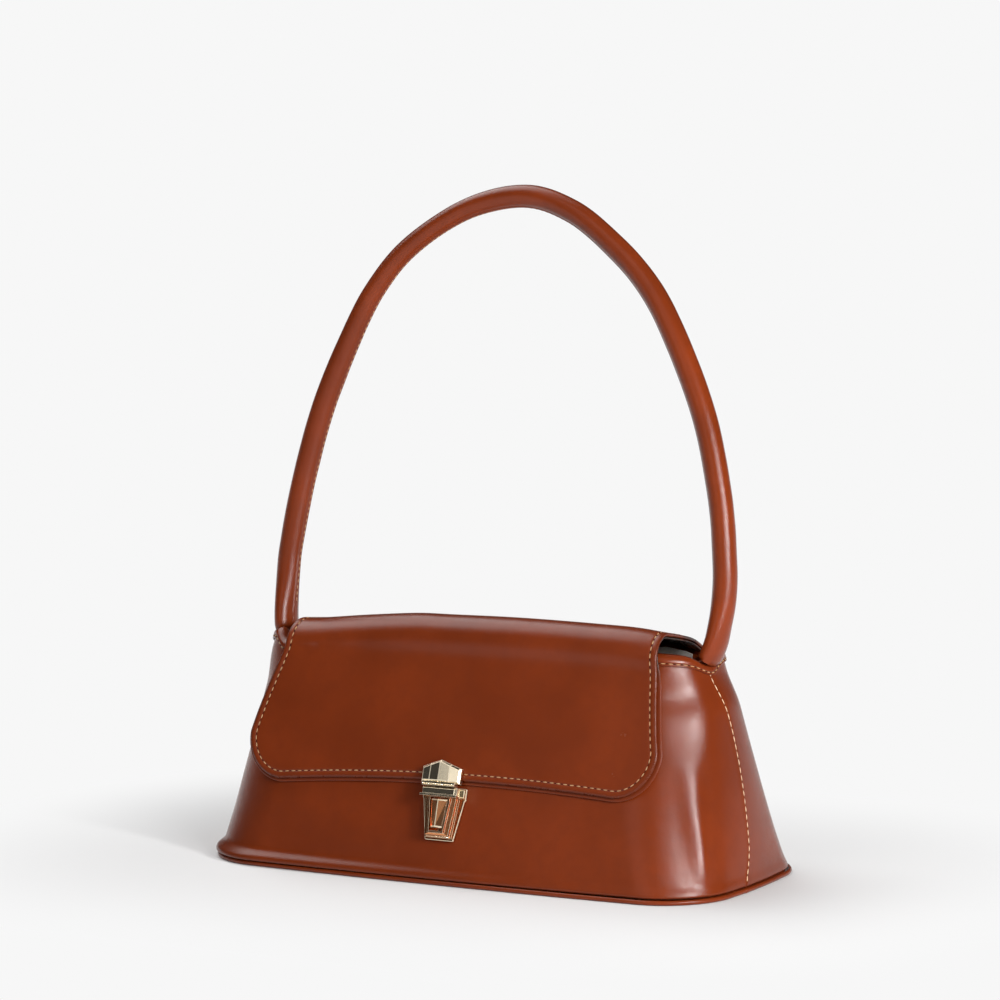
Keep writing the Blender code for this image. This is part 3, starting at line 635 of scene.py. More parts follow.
# The crease at the right front corner, in metres: its depth and its push outwards at some heights
crease_depths = ((0.000, -0.0410), (0.006, -0.0400), (0.012, -0.0388), (0.018, -0.0373), (0.030, -0.0349),
                 (0.045, -0.0320), (0.060, -0.0289), (0.070, -0.0280), (0.080, -0.0262), (0.088, -0.0240),
                 (0.100, -0.0200))
crease_pushes = ((0.000, 0.0), (0.006, 0.0002), (0.012, 0.0014), (0.018, 0.0020), (0.030, 0.0022),
                 (0.045, 0.0018), (0.060, 0.0008), (0.070, -0.0004), (0.080, -0.0012), (0.088, -0.0012),
                 (0.100, 0.0))
crease_bend = 0.09
dent_height = 0.0885


def corner_crease(spot, height, hand):
    """The leather's fold that runs down the right front corner, sharp low down and flat near the flap."""
    if hand < 0 or spot.y < 0:
        return 0.0
    width = (5.2 + 5.0 * smooth_step(height, 0.055, 0.072)) * MM
    along = (spot.y + through(crease_depths, height)) * 1.35
    if spot.x < crease_bend:
        along += crease_bend - spot.x
    fold = through(crease_pushes, height) * bell(along, 0.0, width)
    dent = -0.8 * MM * bell(height, dent_height, 5.5 * MM) * bell(along, 0.0, 15 * MM)
    return fold + dent


def wall_point(side, place, height, inset=0.0, seam_gap=fit_gap):
    """A point of the wall, moved in from the outer face by the inset."""
    kind, share, hand = place
    spot, normal = outline_spot(wall_section(side, height), side, height, kind, share)
    wave = soft_wave(hand * spot.x, side * spot.y, height)
    if side == FRONT:
        wave += corner_crease(spot, height, hand)
    spot = spot + normal * (wave - inset * wall_lean(side))
    seam = -side * seam_shift(height)
    return Vector((hand * spot.x + top_shift(height), side * max(spot.y, seam + seam_gap / 2), height))


def panel_depth(side, x, height):
    """How far the outer face of the front or the back lies from the middle of the bag."""
    section = wall_section(side, height)
    return section.half_depth - section.side_crown * (x / section.half_length) ** 2


# How far the flap's crest lies above or below a straight one, in millimetres, from left to right
crest_drops = ((-0.105, -6.0), (-0.087, -5.0), (-0.061, -2.2), (-0.034, 0.2), (-0.015, 0.6), (0.011, 1.1),
               (0.036, 1.2), (0.062, 0.9), (0.086, 0.1), (0.105, -2.6))


def crest_drop(x):
    """Rise of the flap's crest over a straight one, negative near its ends."""
    return through(crest_drops, x) * MM


# Distances from the bag's middle between which the rim turns its corner, sags under the flap's ends and dips
# to the side seam
corner_reach = (0.0985, 0.1085)
droop_reach = (0.070, 0.090)
dip_reach = (0.1000, 0.1080)
back_droop = 2.0 * MM


def rim_top(side, place):
    """Height of the rim above one place of the outline."""
    kind, share, hand = place
    spot, normal = outline_spot(wall_section(side, seam_height), side, seam_height, kind, share)
    arch = rim_arch * (2 * spot.x / top_length) ** 2
    corner = smooth_step(spot.x, *corner_reach)
    end_top = rim_heights[side] - arch
    if side == FRONT:
        droop = min(crest_drop(-spot.x), 0.0) * (1 - corner) if hand < 0 else 0.0
    else:
        end_top += (back_end_rise + (arch - rim_arch)) * corner
        droop = -back_droop * smooth_step(spot.x, *droop_reach) * (1 - corner)
    from_seam = spot.y + side * seam_shift(seam_height)
    dip = (end_top - seam_height - rim_seam_rise) * bell(from_seam, 0.0, dip_widths[side])
    return end_top - dip * smooth_step(spot.x, *dip_reach) + droop


seam_stitch_place = 2.1 * MM


def seam_inset(side, kind, share):
    """The front leather laps over the back at the side seam, with a pressed stitch line."""
    if kind != "seam":
        return 0.0
    sizes = bpy.context.scene.bag_body
    if side == BACK:
        return sizes.seam_lap * (1 - smooth_step(share, 0.2 * MM, 2.6 * MM))
    rise = -0.6 * sizes.seam_lap * (1 - smooth_step(share, 2.4 * MM, 5.0 * MM))
    groove = 0.16 * MM * bell(share, seam_stitch_place, 0.30 * MM)
    turned = 0.55 * MM * max(1 - share / (0.55 * MM), 0.0) ** 2
    return rise + groove + turned


def lip_share(place):
    """How much of the flare one place of the outline has: most at the left end."""
    kind, share, hand = place
    reach = hand * (1 - share) if kind == "side" else hand
    return 1 - 0.8 * reach


def lip_inset(height, place):
    """The turned lower edge: it flares out, then rounds in under the wall."""
    sizes = bpy.context.scene.bag_body
    fade = (1 - smooth_step(height, wall_low + 1.9 * MM, wall_low + 6.5 * MM)) ** 1.5
    flare = -sizes.lip_flare * lip_share(place) * fade
    radius = 1.3 * MM
    below = max(wall_low + radius - height, 0.0)
    return flare + radius - math.sqrt(max(radius ** 2 - below ** 2, 0.0))


# Places of the first rows of points above the lower edge of the leather, in millimetres
leather_levels = [0.0, 0.12, 0.3, 0.55, 0.85, 1.2, 1.6, 2.0, 2.5, 3.1, 3.8, 4.6, 5.6, 6.8, 8.4, 10.4]


def wall_heights(low, top, fine):
    """Heights of the rows of points in a wall, closest together along a fine lower edge."""
    near = [low + level * MM for level in leather_levels] if fine else [low]
    return near + even(near[-1], top, 35 if fine else 25)[1:]


def wall_layer(name, side, low, drop, inset, thickness, material, leather=False):
    """One layer of the front or back wall, wrapped from seam to seam."""
    rings = []
    edges = []
    for place in column_places():
        kind, share, hand = place
        heights = wall_heights(low, rim_top(side, place) - drop, leather)
        outer = []
        wear = []
        for height in heights:
            extra = lip_inset(height, place) + seam_inset(side, kind, share) if leather else 0.0
            outer.append(wall_point(side, place, height, inset + extra))
            near_seam = math.exp(-share / (0.5 * MM)) if kind == "seam" else 0.0
            wear.append(max(near_seam, 0.8 * math.exp(-(height - low) / (0.7 * MM))))
        inner = []
        for height in reversed(heights):
            flare = min(lip_inset(height, place), 0.0) if leather else 0.0
            inner.append(wall_point(side, place, height, inset + thickness + flare))
        rings.append(outer + inner)
        edges.append(wear + [0.0] * len(inner))
    return loft(name, rings, material, edges)


# The two legs of the rim binding: drops below the rim in millimetres, and lifts as shares of its thickness.
# The outer leg is pressed in along its stitches.
outer_leg_shape = ((5.0, 0.05), (4.98, 0.5), (4.85, 0.85), (4.6, 0.98), (4.3, 0.96), (4.05, 0.80),
                   (3.95, 0.62), (3.85, 0.60), (3.75, 0.62), (3.6, 0.80), (3.3, 1.0), (2.9, 1.02), (2.5, 1.0))
inner_leg_shape = ((2.6, 1.0), (3.0, 1.0), (3.4, 1.0), (3.8, 1.0), (4.2, 0.98), (4.4, 0.85), (4.48, 0.5),
                   (4.5, 0.05))
binding_drop = 5.0 * MM
outer_stitch_drop = 3.85 * MM
inner_stitch_drop = 3.4 * MM
crown_drop = 1.5 * MM


def binding_path(offset, inner_share=1.0):
    """Half section of the rim binding, as drops below the rim and insets from the leather's face.
    The inner share shortens its inner leg."""
    inner_leg = wall_thickness + fit_gap
    outer_leg = -fit_gap
    centre = wall_thickness / 2
    half = wall_thickness / 2 + fit_gap + offset
    path = [(drop * MM, outer_leg - offset * lift) for drop, lift in outer_leg_shape]
    for angle in even(0.0, math.pi, 17):
        drop = crown_drop + rim_thickness - (crown_drop + offset) * math.sin(angle)
        path.append((drop, centre - half * math.cos(angle)))
    path += [((2.0 + (drop - 2.0) * inner_share) * MM, inner_leg + offset * lift)
             for drop, lift in inner_leg_shape]
    return path


def rim_binding(name, side, material):
    """The leather band over the top edge. Its inner leg is short at the back, under the turned lining."""
    rings = []
    edges = []
    for place in column_places():
        top = rim_top(side, place)
        inner_share = 0.25 if side == BACK and place[0] == "side" else 1.0
        outer_path = binding_path(rim_thickness, inner_share)
        inner_path = list(reversed(binding_path(0.02 * MM, inner_share)))
        rings.append([wall_point(side, place, top - drop, inset) for drop, inset in outer_path + inner_path])
        # Burnish on the band's lower edge, and painted shade in the groove pressed along its stitches.
        wear = [0.75 * math.exp(-abs(drop - binding_drop) / (0.35 * MM))
                + 0.25 * bell(drop, outer_stitch_drop, 0.3 * MM) for drop, inset in outer_path]
        edges.append(wear + [0.0] * len(inner_path))
    return loft(name, rings, material, edges)


def lining_edge(name, material):
    """The top edge of the back lining, turned over the inner side of the rim band. It stands a little higher
    near the flap's ends, where it shows under the flap."""
    rings = []
    for place in column_places():
        top = rim_top(BACK, place)
        x = abs(wall_point(BACK, place, top).x)
        if place[0] != "side" or x > 0.095:
            continue
        rise = 2.4 * MM * smooth_step(x, 0.068, 0.078) * (1 - smooth_step(x, 0.087, 0.094))
        heights = even(top - 7.0 * MM, top - 0.6 * MM + rise, 9)
        near = wall_thickness + 2 * fit_gap + rim_thickness
        outer = [wall_point(BACK, place, height, near) for height in heights]
        inner = [wall_point(BACK, place, height, near + lining_thickness) for height in reversed(heights)]
        rings.append(outer + inner)
    return loft(name, rings, material)


def base_outline(height, inset):
    """The whole outline of the base at one height, as one loop."""
    places = column_places()
    front = [wall_point(FRONT, place, height, inset, 0.0) for place in places]
    back = [wall_point(BACK, place, height, inset, 0.0) for place in places]
    loop = front + list(reversed(back))[1:-1]
    return [Vector((point.x, point.y, height)) for point in loop]


def base_plate(name, low, thickness, inset, material, round_off=0.3 * MM):
    """A flat plate inside the walls, with its edges rounded off."""
    shape = [min(pair, key=lambda point: math.hypot(point.x, point.y))
             for pair in zip(base_outline(0.0, inset), base_outline(low + thickness, inset))]
    size = max(point.x for point in shape)
    rings = []
    third = round_off / 3
    steps = ((0.0, round_off), (third, third), (round_off, 0.0),
             (thickness - round_off, 0.0), (thickness - third, third), (thickness, round_off))
    for rise, inward in steps:
        scale = 1 - inward / size
        rings.append([Vector((point.x * scale, point.y * scale, low + rise)) for point in shape])
    return loft(name, rings, material)


def welt(name, material):
    """The rolled edge between the walls and the bottom."""
    sizes = bpy.context.scene.bag_body
    radius = sizes.welt_radius
    middle = base_outline(0.0, radius - sizes.welt_overhang)
    count = len(middle)
    rings = []
    for i, centre in enumerate(middle):
        along = (middle[(i + 1) % count] - middle[i - 1]).normalized()
        across = Vector((along.y, -along.x, 0.0))
        ring = []
        for angle in around(14):
            height = radius * (1 + math.sin(angle)) + 0.1 * MM
            ring.append(centre + across * radius * math.cos(angle) + Vector((0, 0, height)))
        rings.append(ring)
    return loft(name, rings, material, closed=True)


class BAG_OT_walls(bpy.types.Operator):
    """Makes the two leather walls that wrap round to the side seams"""
    bl_idname = "bag.walls"
    bl_label = "Leather walls"

    def execute(self, context):
        drop = rim_thickness + fit_gap
        for side, word in panels:
            wall = wall_layer(word + "_wall", side, wall_low, drop, 0.0, leather_thickness,
                              finish("smooth_leather"), True)
            put(wall, "bag_body", "cognac_leather", word + "_panel")
        return {"FINISHED"}


class BAG_OT_inner_walls(bpy.types.Operator):
    """Makes the fabric lining and the stiffening board behind the leather"""
    bl_idname = "bag.inner_walls"
    bl_label = "Lining and board"

    def execute(self, context):
        board_inset = leather_thickness + layer_gap
        lining_inset = board_inset + stiffener_thickness + layer_gap
        drop = rim_thickness + fit_gap
        for side, word in panels:
            board = wall_layer(word + "_board", side, floor_height, 2 * drop, board_inset,
                               stiffener_thickness, finish("stiff_board"))
            put(board, "bag_body", "stiffening_board", word + "_stiffener")
            lining = wall_layer(word + "_inside", side, floor_height, drop, lining_inset,
                                lining_thickness, finish("lining_weave"))
            put(lining, "bag_body", "lining_fabric", word + "_lining")
        put(lining_edge("back_inside_edge", finish("lining_weave")), "bag_body", "lining_fabric")
        return {"FINISHED"}


class BAG_OT_rims(bpy.types.Operator):
    """Makes the turned leather band along the top edges"""
    bl_idname = "bag.rims"
    bl_label = "Rim bands"

    def execute(self, context):
        outer_face = -fit_gap - 0.9 * rim_thickness
        inner_face = wall_thickness + fit_gap + rim_thickness
        for side, word in panels:
            band = rim_binding(word + "_rim_band", side, finish("rim_leather"))
            put(band, "bag_body", "edge_leather", word + "_rim_binding")
            self.stitches(word + "_rim_stitches_out", side, outer_stitch_drop, outer_face, -1 * MM)
            if side == FRONT:
                self.stitches("front_rim_stitches_in", side, inner_stitch_drop, inner_face, 1 * MM)
        return {"FINISHED"}

    def stitches(self, name, side, drop, inset, away):
        spots = []
        for place in column_places()[1:-1]:
            height = rim_top(side, place) - drop
            spots.append([wall_point(side, place, height, depth) for depth in (inset, inset + away)])
        put(stitch_row(name, spots), "bag_body", "edge_leather")


class BAG_OT_base(bpy.types.Operator):
    """Makes the bottom leather, its rolled edge, the board and the fabric over it"""
    bl_idname = "bag.base"
    bl_label = "Base"

    def execute(self, context):
        sizes = context.scene.bag_body
        inset = 2 * sizes.welt_radius - sizes.welt_overhang + fit_gap
        leather = base_plate("base_leather", 0.0, base_leather_thickness, inset, finish("smooth_leather"))
        put(leather, "bag_body", "cognac_leather", "base_panel")
        put(welt("base_welt", finish("rim_leather")), "bag_body", "edge_leather", "base_piping")
        board_inset = leather_thickness + 2 * fit_gap
        board = base_plate("bottom_board", base_board_low, base_board_thickness, board_inset,
                           finish("stiff_board"))
        put(board, "bag_body", "stiffening_board", "base_board")
        fabric = base_plate("bottom_fabric", floor_height, lining_thickness, wall_thickness + fit_gap,
                            finish("lining_weave"), 0.15 * MM)
        put(fabric, "bag_body", "lining_fabric", "base_lining")
        return {"FINISHED"}


class BAG_OT_side_stitches(bpy.types.Operator):
    """Makes the topstitching along the two side seams"""
    bl_idname = "bag.side_stitches"
    bl_label = "Side seam stitches"

    def execute(self, context):
        low = 6.2 * MM
        high = seam_height - 1.5 * MM
        for hand, word in hands:
            place = ("seam", seam_stitch_place, hand)
            spots = []
            for height in even(low, high, 60):
                inset = seam_inset(FRONT, "seam", seam_stitch_place) + lip_inset(height, place)
                near = wall_point(FRONT, place, height, inset)
                spots.append((near, wall_point(FRONT, place, height, inset - 1 * MM)))
            row = stitch_row(word + "_seam_stitches", spots, 1.0, 1.42, 1.05, "pale_thread")
            put(row, "bag_body", "cognac_leather")
        return {"FINISHED"}


# Stitches

class PieceTree:
    """Geometry Nodes that start from a path and have named numbers and materials as inputs."""

    def __init__(self, name, numbers, materials):
        self.group = bpy.data.node_groups.new(name, "GeometryNodeTree")
        inputs = [("Geometry", "Geometry")]
        inputs += [(label, "Float") for label in numbers]
        inputs += [(label, "Material") for label in materials]
        for label, kind in inputs:
            self.group.interface.new_socket(label, in_out="INPUT", socket_type="NodeSocket" + kind)
        self.group.interface.new_socket("Geometry", in_out="OUTPUT", socket_type="NodeSocketGeometry")
        self.given = self.group.nodes.new("NodeGroupInput").outputs

    def add(self, kind, sockets=None, **settings):
        """A node with its inputs linked or set, and its first output."""
        item = self.group.nodes.new(kind)
        for label, setting in settings.items():
            setattr(item, label, setting)
        for label, content in (sockets or {}).items():
            for part in content if isinstance(content, list) else [content]:
                if isinstance(part, bpy.types.NodeSocket):
                    self.group.links.new(part, item.inputs[label])
                else:
                    item.inputs[label].default_value = part
        return item.outputs[0] if item.outputs else None

    def times(self, value, factor):
        return self.add("ShaderNodeMath", {0: value, 1: factor}, operation="MULTIPLY")

    def axes(self, x, y, z):
        return self.add("ShaderNodeCombineXYZ", {"X": x, "Y": y, "Z": z})

    def painted(self, geometry, material, **selection):
        return self.add("GeometryNodeSetMaterial", {"Geometry": geometry, "Material": material, **selection})

    def finished(self, geometry):
        self.add("NodeGroupOutput", {0: geometry})
        return self.group


def stitch_tree():
    """Nodes that lay stitches along a path, with a dark blob of painted shade for each needle hole, each
    turned to the path and the surface.
    """
    found = bpy.data.node_groups.get("Stitches")
    if found:
        return found
    tree = PieceTree("Stitches", ("Pitch", "Length", "Radius"), ("Thread", "Hole"))
    pitch = tree.given["Pitch"]
    radius = tree.given["Radius"]
    curve = tree.add("GeometryNodeMeshToCurve", {0: tree.given["Geometry"]})
    places = tree.add("GeometryNodeResampleCurve", {"Curve": curve, "Length": pitch}, mode="LENGTH")
    tangent = tree.add("GeometryNodeInputTangent")
    up = tree.add("GeometryNodeInputNamedAttribute", {"Name": "up"}, data_type="FLOAT_VECTOR")
    turned = tree.add("FunctionNodeAlignRotationToVector", {"Vector": tangent}, axis="X")
    stood = tree.add("FunctionNodeAlignRotationToVector", {"Rotation": turned, "Vector": up}, axis="Z",
                     pivot_axis="X")
    bead = tree.add("GeometryNodeMeshUVSphere", {"Segments": 8, "Rings": 6, "Radius": 1.0})
    size = tree.axes(tree.times(tree.given["Length"], 0.5), radius, radius)
    stitch = tree.add("GeometryNodeTransform", {"Geometry": bead, "Scale": size})
    # Each needle hole is a flat blob sunk between two stitches, painted dark as the shade inside the hole.
    between = tree.axes(tree.times(pitch, 0.5), 0.0, tree.times(radius, -0.45))
    wide = tree.times(radius, 1.7)
    hole_size = tree.axes(wide, wide, tree.times(radius, 0.62))
    hole = tree.add("GeometryNodeTransform", {"Geometry": bead, "Translation": between, "Scale": hole_size})
    marked = tree.add("GeometryNodeStoreNamedAttribute", {"Geometry": hole, "Name": "is_hole", "Value": True},
                      data_type="BOOLEAN", domain="FACE")
    both = tree.add("GeometryNodeJoinGeometry", {0: [stitch, marked]})
    laid = tree.add("GeometryNodeInstanceOnPoints", {"Points": places, "Instance": both, "Rotation": stood})
    real = tree.add("GeometryNodeRealizeInstances", {0: laid})
    is_hole = tree.add("GeometryNodeInputNamedAttribute", {"Name": "is_hole"}, data_type="BOOLEAN")
    threaded = tree.painted(real, tree.given["Thread"])
    return tree.finished(tree.painted(threaded, tree.given["Hole"], Selection=is_hole))


def bead_tree():
    """Nodes that set one small bead on each point of a path."""
    found = bpy.data.node_groups.get("Beads")
    if found:
        return found
    tree = PieceTree("Beads", ("Radius",), ("Metal",))
    ball = tree.add("GeometryNodeMeshUVSphere", {"Segments": 12, "Rings": 8, "Radius": tree.given["Radius"]})
    laid = tree.add("GeometryNodeInstanceOnPoints", {"Points": tree.given["Geometry"], "Instance": ball})
    real = tree.add("GeometryNodeRealizeInstances", {0: laid})
    return tree.finished(tree.painted(real, tree.given["Metal"]))


def run_tree(thing, tree, values):
    """Runs the nodes on a path and returns the result as a plain mesh object of the same name."""
    modifier = thing.modifiers.new("Nodes", "NODES")
    modifier.node_group = tree
    for item in tree.interface.items_tree:
        if item.item_type == "SOCKET" and item.in_out == "INPUT" and item.name in values:
            modifier[item.identifier] = values[item.name]
    bpy.context.view_layer.update()
    evaluated = thing.evaluated_get(bpy.context.evaluated_depsgraph_get())
    mesh = bpy.data.meshes.new_from_object(evaluated)
    thing.modifiers.remove(modifier)
    thing.data = mesh
    mesh.shade_smooth()
    keep_rest_place(mesh)
    return thing


def path_object(name, spots):
    """A path of points, each with the direction away from the surface kept as an attribute."""
    mesh = bpy.data.meshes.new(name)
    edges = [(i, i + 1) for i in range(len(spots) - 1)]
    mesh.from_pydata([tuple(spot) for spot, away in spots], edges, [])
    up = mesh.attributes.new("up", "FLOAT_VECTOR", "POINT")
    for i, (spot, away) in enumerate(spots):
        up.data[i].vector = (away - spot).normalized()
    thing = bpy.data.objects.new(name, mesh)
    bpy.context.scene.collection.objects.link(thing)
    return thing


def stitch_row(name, spots, pitch_share=1.0, length_share=1.0, radius_share=1.0, material="thread"):
    """Stitches along the spots, each of which is a point with a second point further out of the surface."""
    sizes = bpy.context.scene.bag_threads
    values = {"Pitch": sizes.pitch * pitch_share, "Length": sizes.length * pitch_share * length_share,
              "Radius": sizes.radius * radius_share, "Thread": finish(material),
              "Hole": finish("needle_hole")}
    return run_tree(path_object(name, spots), stitch_tree(), values)


# Flap

# Runs along the flap from the hinge, and heights and places that shape it, in metres
top_straight = 0.04598
top_arc = 0.02089
front_start = top_straight + top_arc
root_low = 0.0880
root_bend = 4.0 * MM
sag_depth = 4.2 * MM
sag_reach = (0.070, 0.096)
sag_run = 0.0100
facing_start = 1.2 * MM
facing_short = 0.6 * MM
reach_start = 0.056
reach_end = 0.080
brown_start = 0.060
brown_end = 0.078

# Heights of the two faces of each layer over the flap's middle surface
leather_faces = (flap_half_thickness, flap_leather_inner)
facing_faces = (flap_lining_outer, -flap_half_thickness)


def soft_max(a, b, width):
    """The larger of two values, with a soft change from one to the other."""
    return (a + b + math.hypot(a - b, width)) / 2


def hinge_sag(x):
    """The flap's ends sink towards the back seam."""
    return sag_depth * smooth_step(abs(x), *sag_reach)


def flap_line(x, run):
    """Depth and height of the flap's middle surface at a run from the hinge."""
    drop = crest_drop(x)
    centre = Vector((-fold_centre_depth, fold_centre_height + drop))
    if run >= front_start:
        plain = fold_centre_height - (run - front_start) / flap_front_slope
        height = plain + drop * smooth_step(plain, 0.060, fold_centre_height)
        depth = panel_depth(FRONT, x, height) + flap_clearance + flap_half_thickness
        return Vector((-soft_max(depth, fold_centre_depth + fold_radius - 0.2 * MM, 1.4 * MM), height))
    hinge = Vector((hinge_depth, hinge_height + 0.25 * drop))
    towards = hinge - centre
    tangent = math.atan2(towards.y, towards.x) + math.acos(fold_radius / towards.length)
    if run > top_straight:
        angle = tangent + (math.pi - tangent) * (run - top_straight) / top_arc
        return centre + fold_radius * Vector((math.cos(angle), math.sin(angle)))
    touch = centre + fold_radius * Vector((math.cos(tangent), math.sin(tangent)))
    share = run / top_straight
    line = hinge.lerp(touch, share)
    line.y -= hinge_sag(x) * math.exp(-(max(run, 0.0) / sag_run) ** 1.5)
    return line


def flap_middle(x, run):
    """A point of the flap's middle surface."""
    line = flap_line(x, run)
    return Vector((x, line.x, line.y))


def flap_wave(spot):
    """Slow waves of the flap's leather."""
    return 0.16 * MM * noise.noise(spot / 0.034 + Vector((5.0, 2.0, 8.0)))


def flap_point(x, run, lift):
    """A point over the flap's middle surface, moved along its outward direction."""
    step = 0.4 * MM
    spot = flap_middle(x, run)
    across = flap_middle(x + step, run) - flap_middle(x - step, run)
    along = flap_middle(x, run + step) - flap_middle(x, run - step)
    away = across.cross(along).normalized()
    if away.z < 0:
        away = -away
    return spot + away * (lift + flap_wave(spot))


def run_at_height(height):
    """The run at which the flap's front part has come down to a height."""
    return front_start + (fold_centre_height - height) * flap_front_slope


def flap_half_width(run, low_run):
    """Half width of the flap at a run, where its sides end at the low run."""
    sizes = bpy.context.scene.bag_flap
    if run < front_start:
        share = run / front_start
        return sizes.hinge_half_width + (sizes.fold_half_width - sizes.hinge_half_width) * share
    share = min((run - front_start) / (low_run - front_start), 1.0)
    return sizes.fold_half_width + (sizes.low_half_width - sizes.fold_half_width) * share


side_points = 52
corner_points = 24
bottom_points = 60


def flap_outline():
    """The flat outline of the flap's front part, from its right start round the bottom to its left start, as
    places across and along."""
    sizes = bpy.context.scene.bag_flap
    radius = sizes.corner_radius
    straight = sizes.low_half_width - radius
    sides = {}
    for hand in (1, -1):
        rise = sizes.bottom_skew * (1 + hand) / 2
        corner_run = run_at_height(sizes.bottom_height + radius + rise)
        side = []
        for run in even(flap_split, corner_run, side_points + 1)[:-1]:
            share = max((run - front_start) / (corner_run - front_start), 0.0)
            shift = sizes.low_shift * share * (2 - share)
            side.append(Vector((hand * flap_half_width(run, corner_run) + shift, run)))
        for angle in even(0.0, math.pi / 2, corner_points + 1):
            side.append(Vector((hand * (straight + radius * math.cos(angle)) + sizes.low_shift,
                                corner_run + radius * flap_front_slope * math.sin(angle))))
        sides[hand] = side
    bottom = []
    for share in even(0.0, 1.0, bottom_points + 1)[1:-1]:
        arch = sizes.bottom_arch * 4 * share * (1 - share)
        point = sides[1][-1].lerp(sides[-1][-1], share)
        bottom.append(Vector((point.x, point.y - arch * flap_front_slope)))
    return sides[1] + bottom + list(reversed(sides[-1]))


def inward_directions(outline):
    """The direction from each place of the outline towards the inside of the flap."""
    directions = []
    for i in range(len(outline)):
        before = outline[max(i - 1, 0)]
        after = outline[min(i + 1, len(outline) - 1)]
        along = (after - before).normalized()
        directions.append(Vector((along.y, -along.x)))
    if directions[len(outline) // 2].y > 0:
        directions = [-direction for direction in directions]
    return directions


def facing_reach(run):
    """How far the facing reaches beyond the leather: short of it over the top, and past it at the front."""
    margin = bpy.context.scene.bag_flap.lining_margin
    front_share = smooth_step(run, reach_start, reach_end)
    return margin * front_share - facing_short * (1 - front_share)


def rounded_edge(half):
    """Distances in from the edge and lifts over the middle of a layer with a rounded edge."""
    return [(half * (1 - math.cos(angle)), half * math.sin(angle)) for angle in even(0.0, math.pi / 2, 5)]


def stitch_dent(inset):
    """How deep the leather is pressed in along its stitches."""
    return 0.20 * MM * bell(inset, bpy.context.scene.bag_flap.stitch_inset, 0.42 * MM)


# Distances of the bands from the flap's edge, in millimetres
front_bands = [0.9, 1.4, 2.0, 2.5, 2.8, 3.0, 3.2, 3.4, 3.6, 3.9, 4.4, 5.2, 6.4, 8.0]
back_bands = [0.9, 1.6, 2.3, 2.8, 3.2, 3.6, 4.1, 5.0, 6.4, 8.0]


def field_place(right, left, bottom, j, k):
    """A place between two sides and the bottom, under a straight start: j steps down and k steps across."""
    down = j / (len(right) - 1)
    over = k / (len(bottom) - 1)
    start = right[0].lerp(left[0], over)
    between = right[j].lerp(left[j], over)
    ends = start.lerp(bottom[k], down)
    corners = start.lerp(bottom[0].lerp(bottom[-1], over), down)
    return ends + between - corners


def flap_front_skin(name, facing, material):
    """The front part of the flap, with bands that follow its edge and a smooth field inside them."""
    outline = flap_outline()
    inward = inward_directions(outline)
    count = len(outline)
    outer, inner = facing_faces if facing else leather_faces
    middle = (outer + inner) / 2
    half = (outer - inner) / 2
    stitch = bpy.context.scene.bag_flap.stitch_inset
    bands = rounded_edge(half) + [(distance * MM, half) for distance in front_bands]
    points = []
    wear = []

    def add(place, lift, wear_and_shade_share):
        points.append(flap_point(place.x, place.y, lift))
        wear.append(wear_and_shade_share)
        return len(points) - 1

    def inset_at(i, distance):
        return distance - (facing_reach(outline[i].y) if facing else 0.0)

    def place_at(i, distance):
        place = outline[i] + inward[i] * inset_at(i, distance)
        if i in (0, count - 1):
            place.y = flap_split
        return place

    rows_top = []
    rows_low = []
    for distance, lift in bands:
        row_top = []
        row_low = []
        for i in range(count):
            inset = inset_at(i, distance)
            # On the facing this marks the front margin, where its own brown shows through the painted shade.
            brown = 1.2 * smooth_step(outline[i].y, brown_start, brown_end)
            if facing:
                relief = 0.0
                top_wear_and_shade = brown * (1 - smooth_step(distance, 2.0 * MM, 3.0 * MM))
                low_wear = brown * (1 - smooth_step(distance, 0.6 * MM, 1.2 * MM))
            else:
                relief = 0.18 * MM * bell(inset, stitch / 2, 1.1 * MM) - stitch_dent(inset)
                top_wear_and_shade = 0.9 * math.exp(-max(distance - half, 0.0) / (0.45 * MM))
                # Painted shade in the groove pressed along the stitches.
                top_wear_and_shade += 0.35 * bell(inset, stitch, 0.3 * MM)
                low_wear = 0.0
            row_top.append(add(place_at(i, distance), middle + lift + relief, top_wear_and_shade))
            if distance > 0.0:
                row_low.append(add(place_at(i, distance), middle - lift, low_wear))
        rows_top.append(row_top)
        rows_low.append(row_low or row_top)
    faces = []
    for rows in (rows_top, rows_low):
        for first, second in zip(rows, rows[1:]):
            for i in range(count - 1):
                quad = (first[i], first[i + 1], second[i + 1], second[i])
                faces.append(quad if rows is rows_top else tuple(reversed(quad)))
    # The field inside the bands, between the two sides, the start and the bottom
    down = side_points + corner_points // 2
    over = count - 1 - 2 * down
    places = [place_at(i, bands[-1][0]) for i in range(count)]
    right = places[:down + 1]
    left = list(reversed(places[count - 1 - down:]))
    bottom = places[down:down + over + 1]
    starts = []
    for rows, sign in ((rows_top, 1), (rows_low, -1)):
        ring = rows[-1]
        grid = []
        for j in range(down):
            row = [ring[j]]
            for k in range(1, over):
                row.append(add(field_place(right, left, bottom, j, k), middle + sign * half, 0.0))
            grid.append(row + [ring[count - 1 - j]])
        grid.append(ring[down:down + over + 1])
        starts.append(grid[0])
        for first, second in zip(grid, grid[1:]):
            for k in range(over):
                quad = (first[k], first[k + 1], second[k + 1], second[k])
                faces.append(quad if sign < 0 else tuple(reversed(quad)))
    # The start edge, closed from the upper to the lower face
    for end in (0, count - 1):
        for k in range(len(bands) - 1):
            quad = (rows_top[k][end], rows_top[k + 1][end], rows_low[k + 1][end], rows_low[k][end])
            if k == 0:
                quad = quad[:3]
            faces.append(quad if end else tuple(reversed(quad)))
    upper, lower = starts
    for k in range(over):
        faces.append((upper[k], upper[k + 1], lower[k + 1], lower[k]))
    return make_piece(name, points, faces, material, wear)


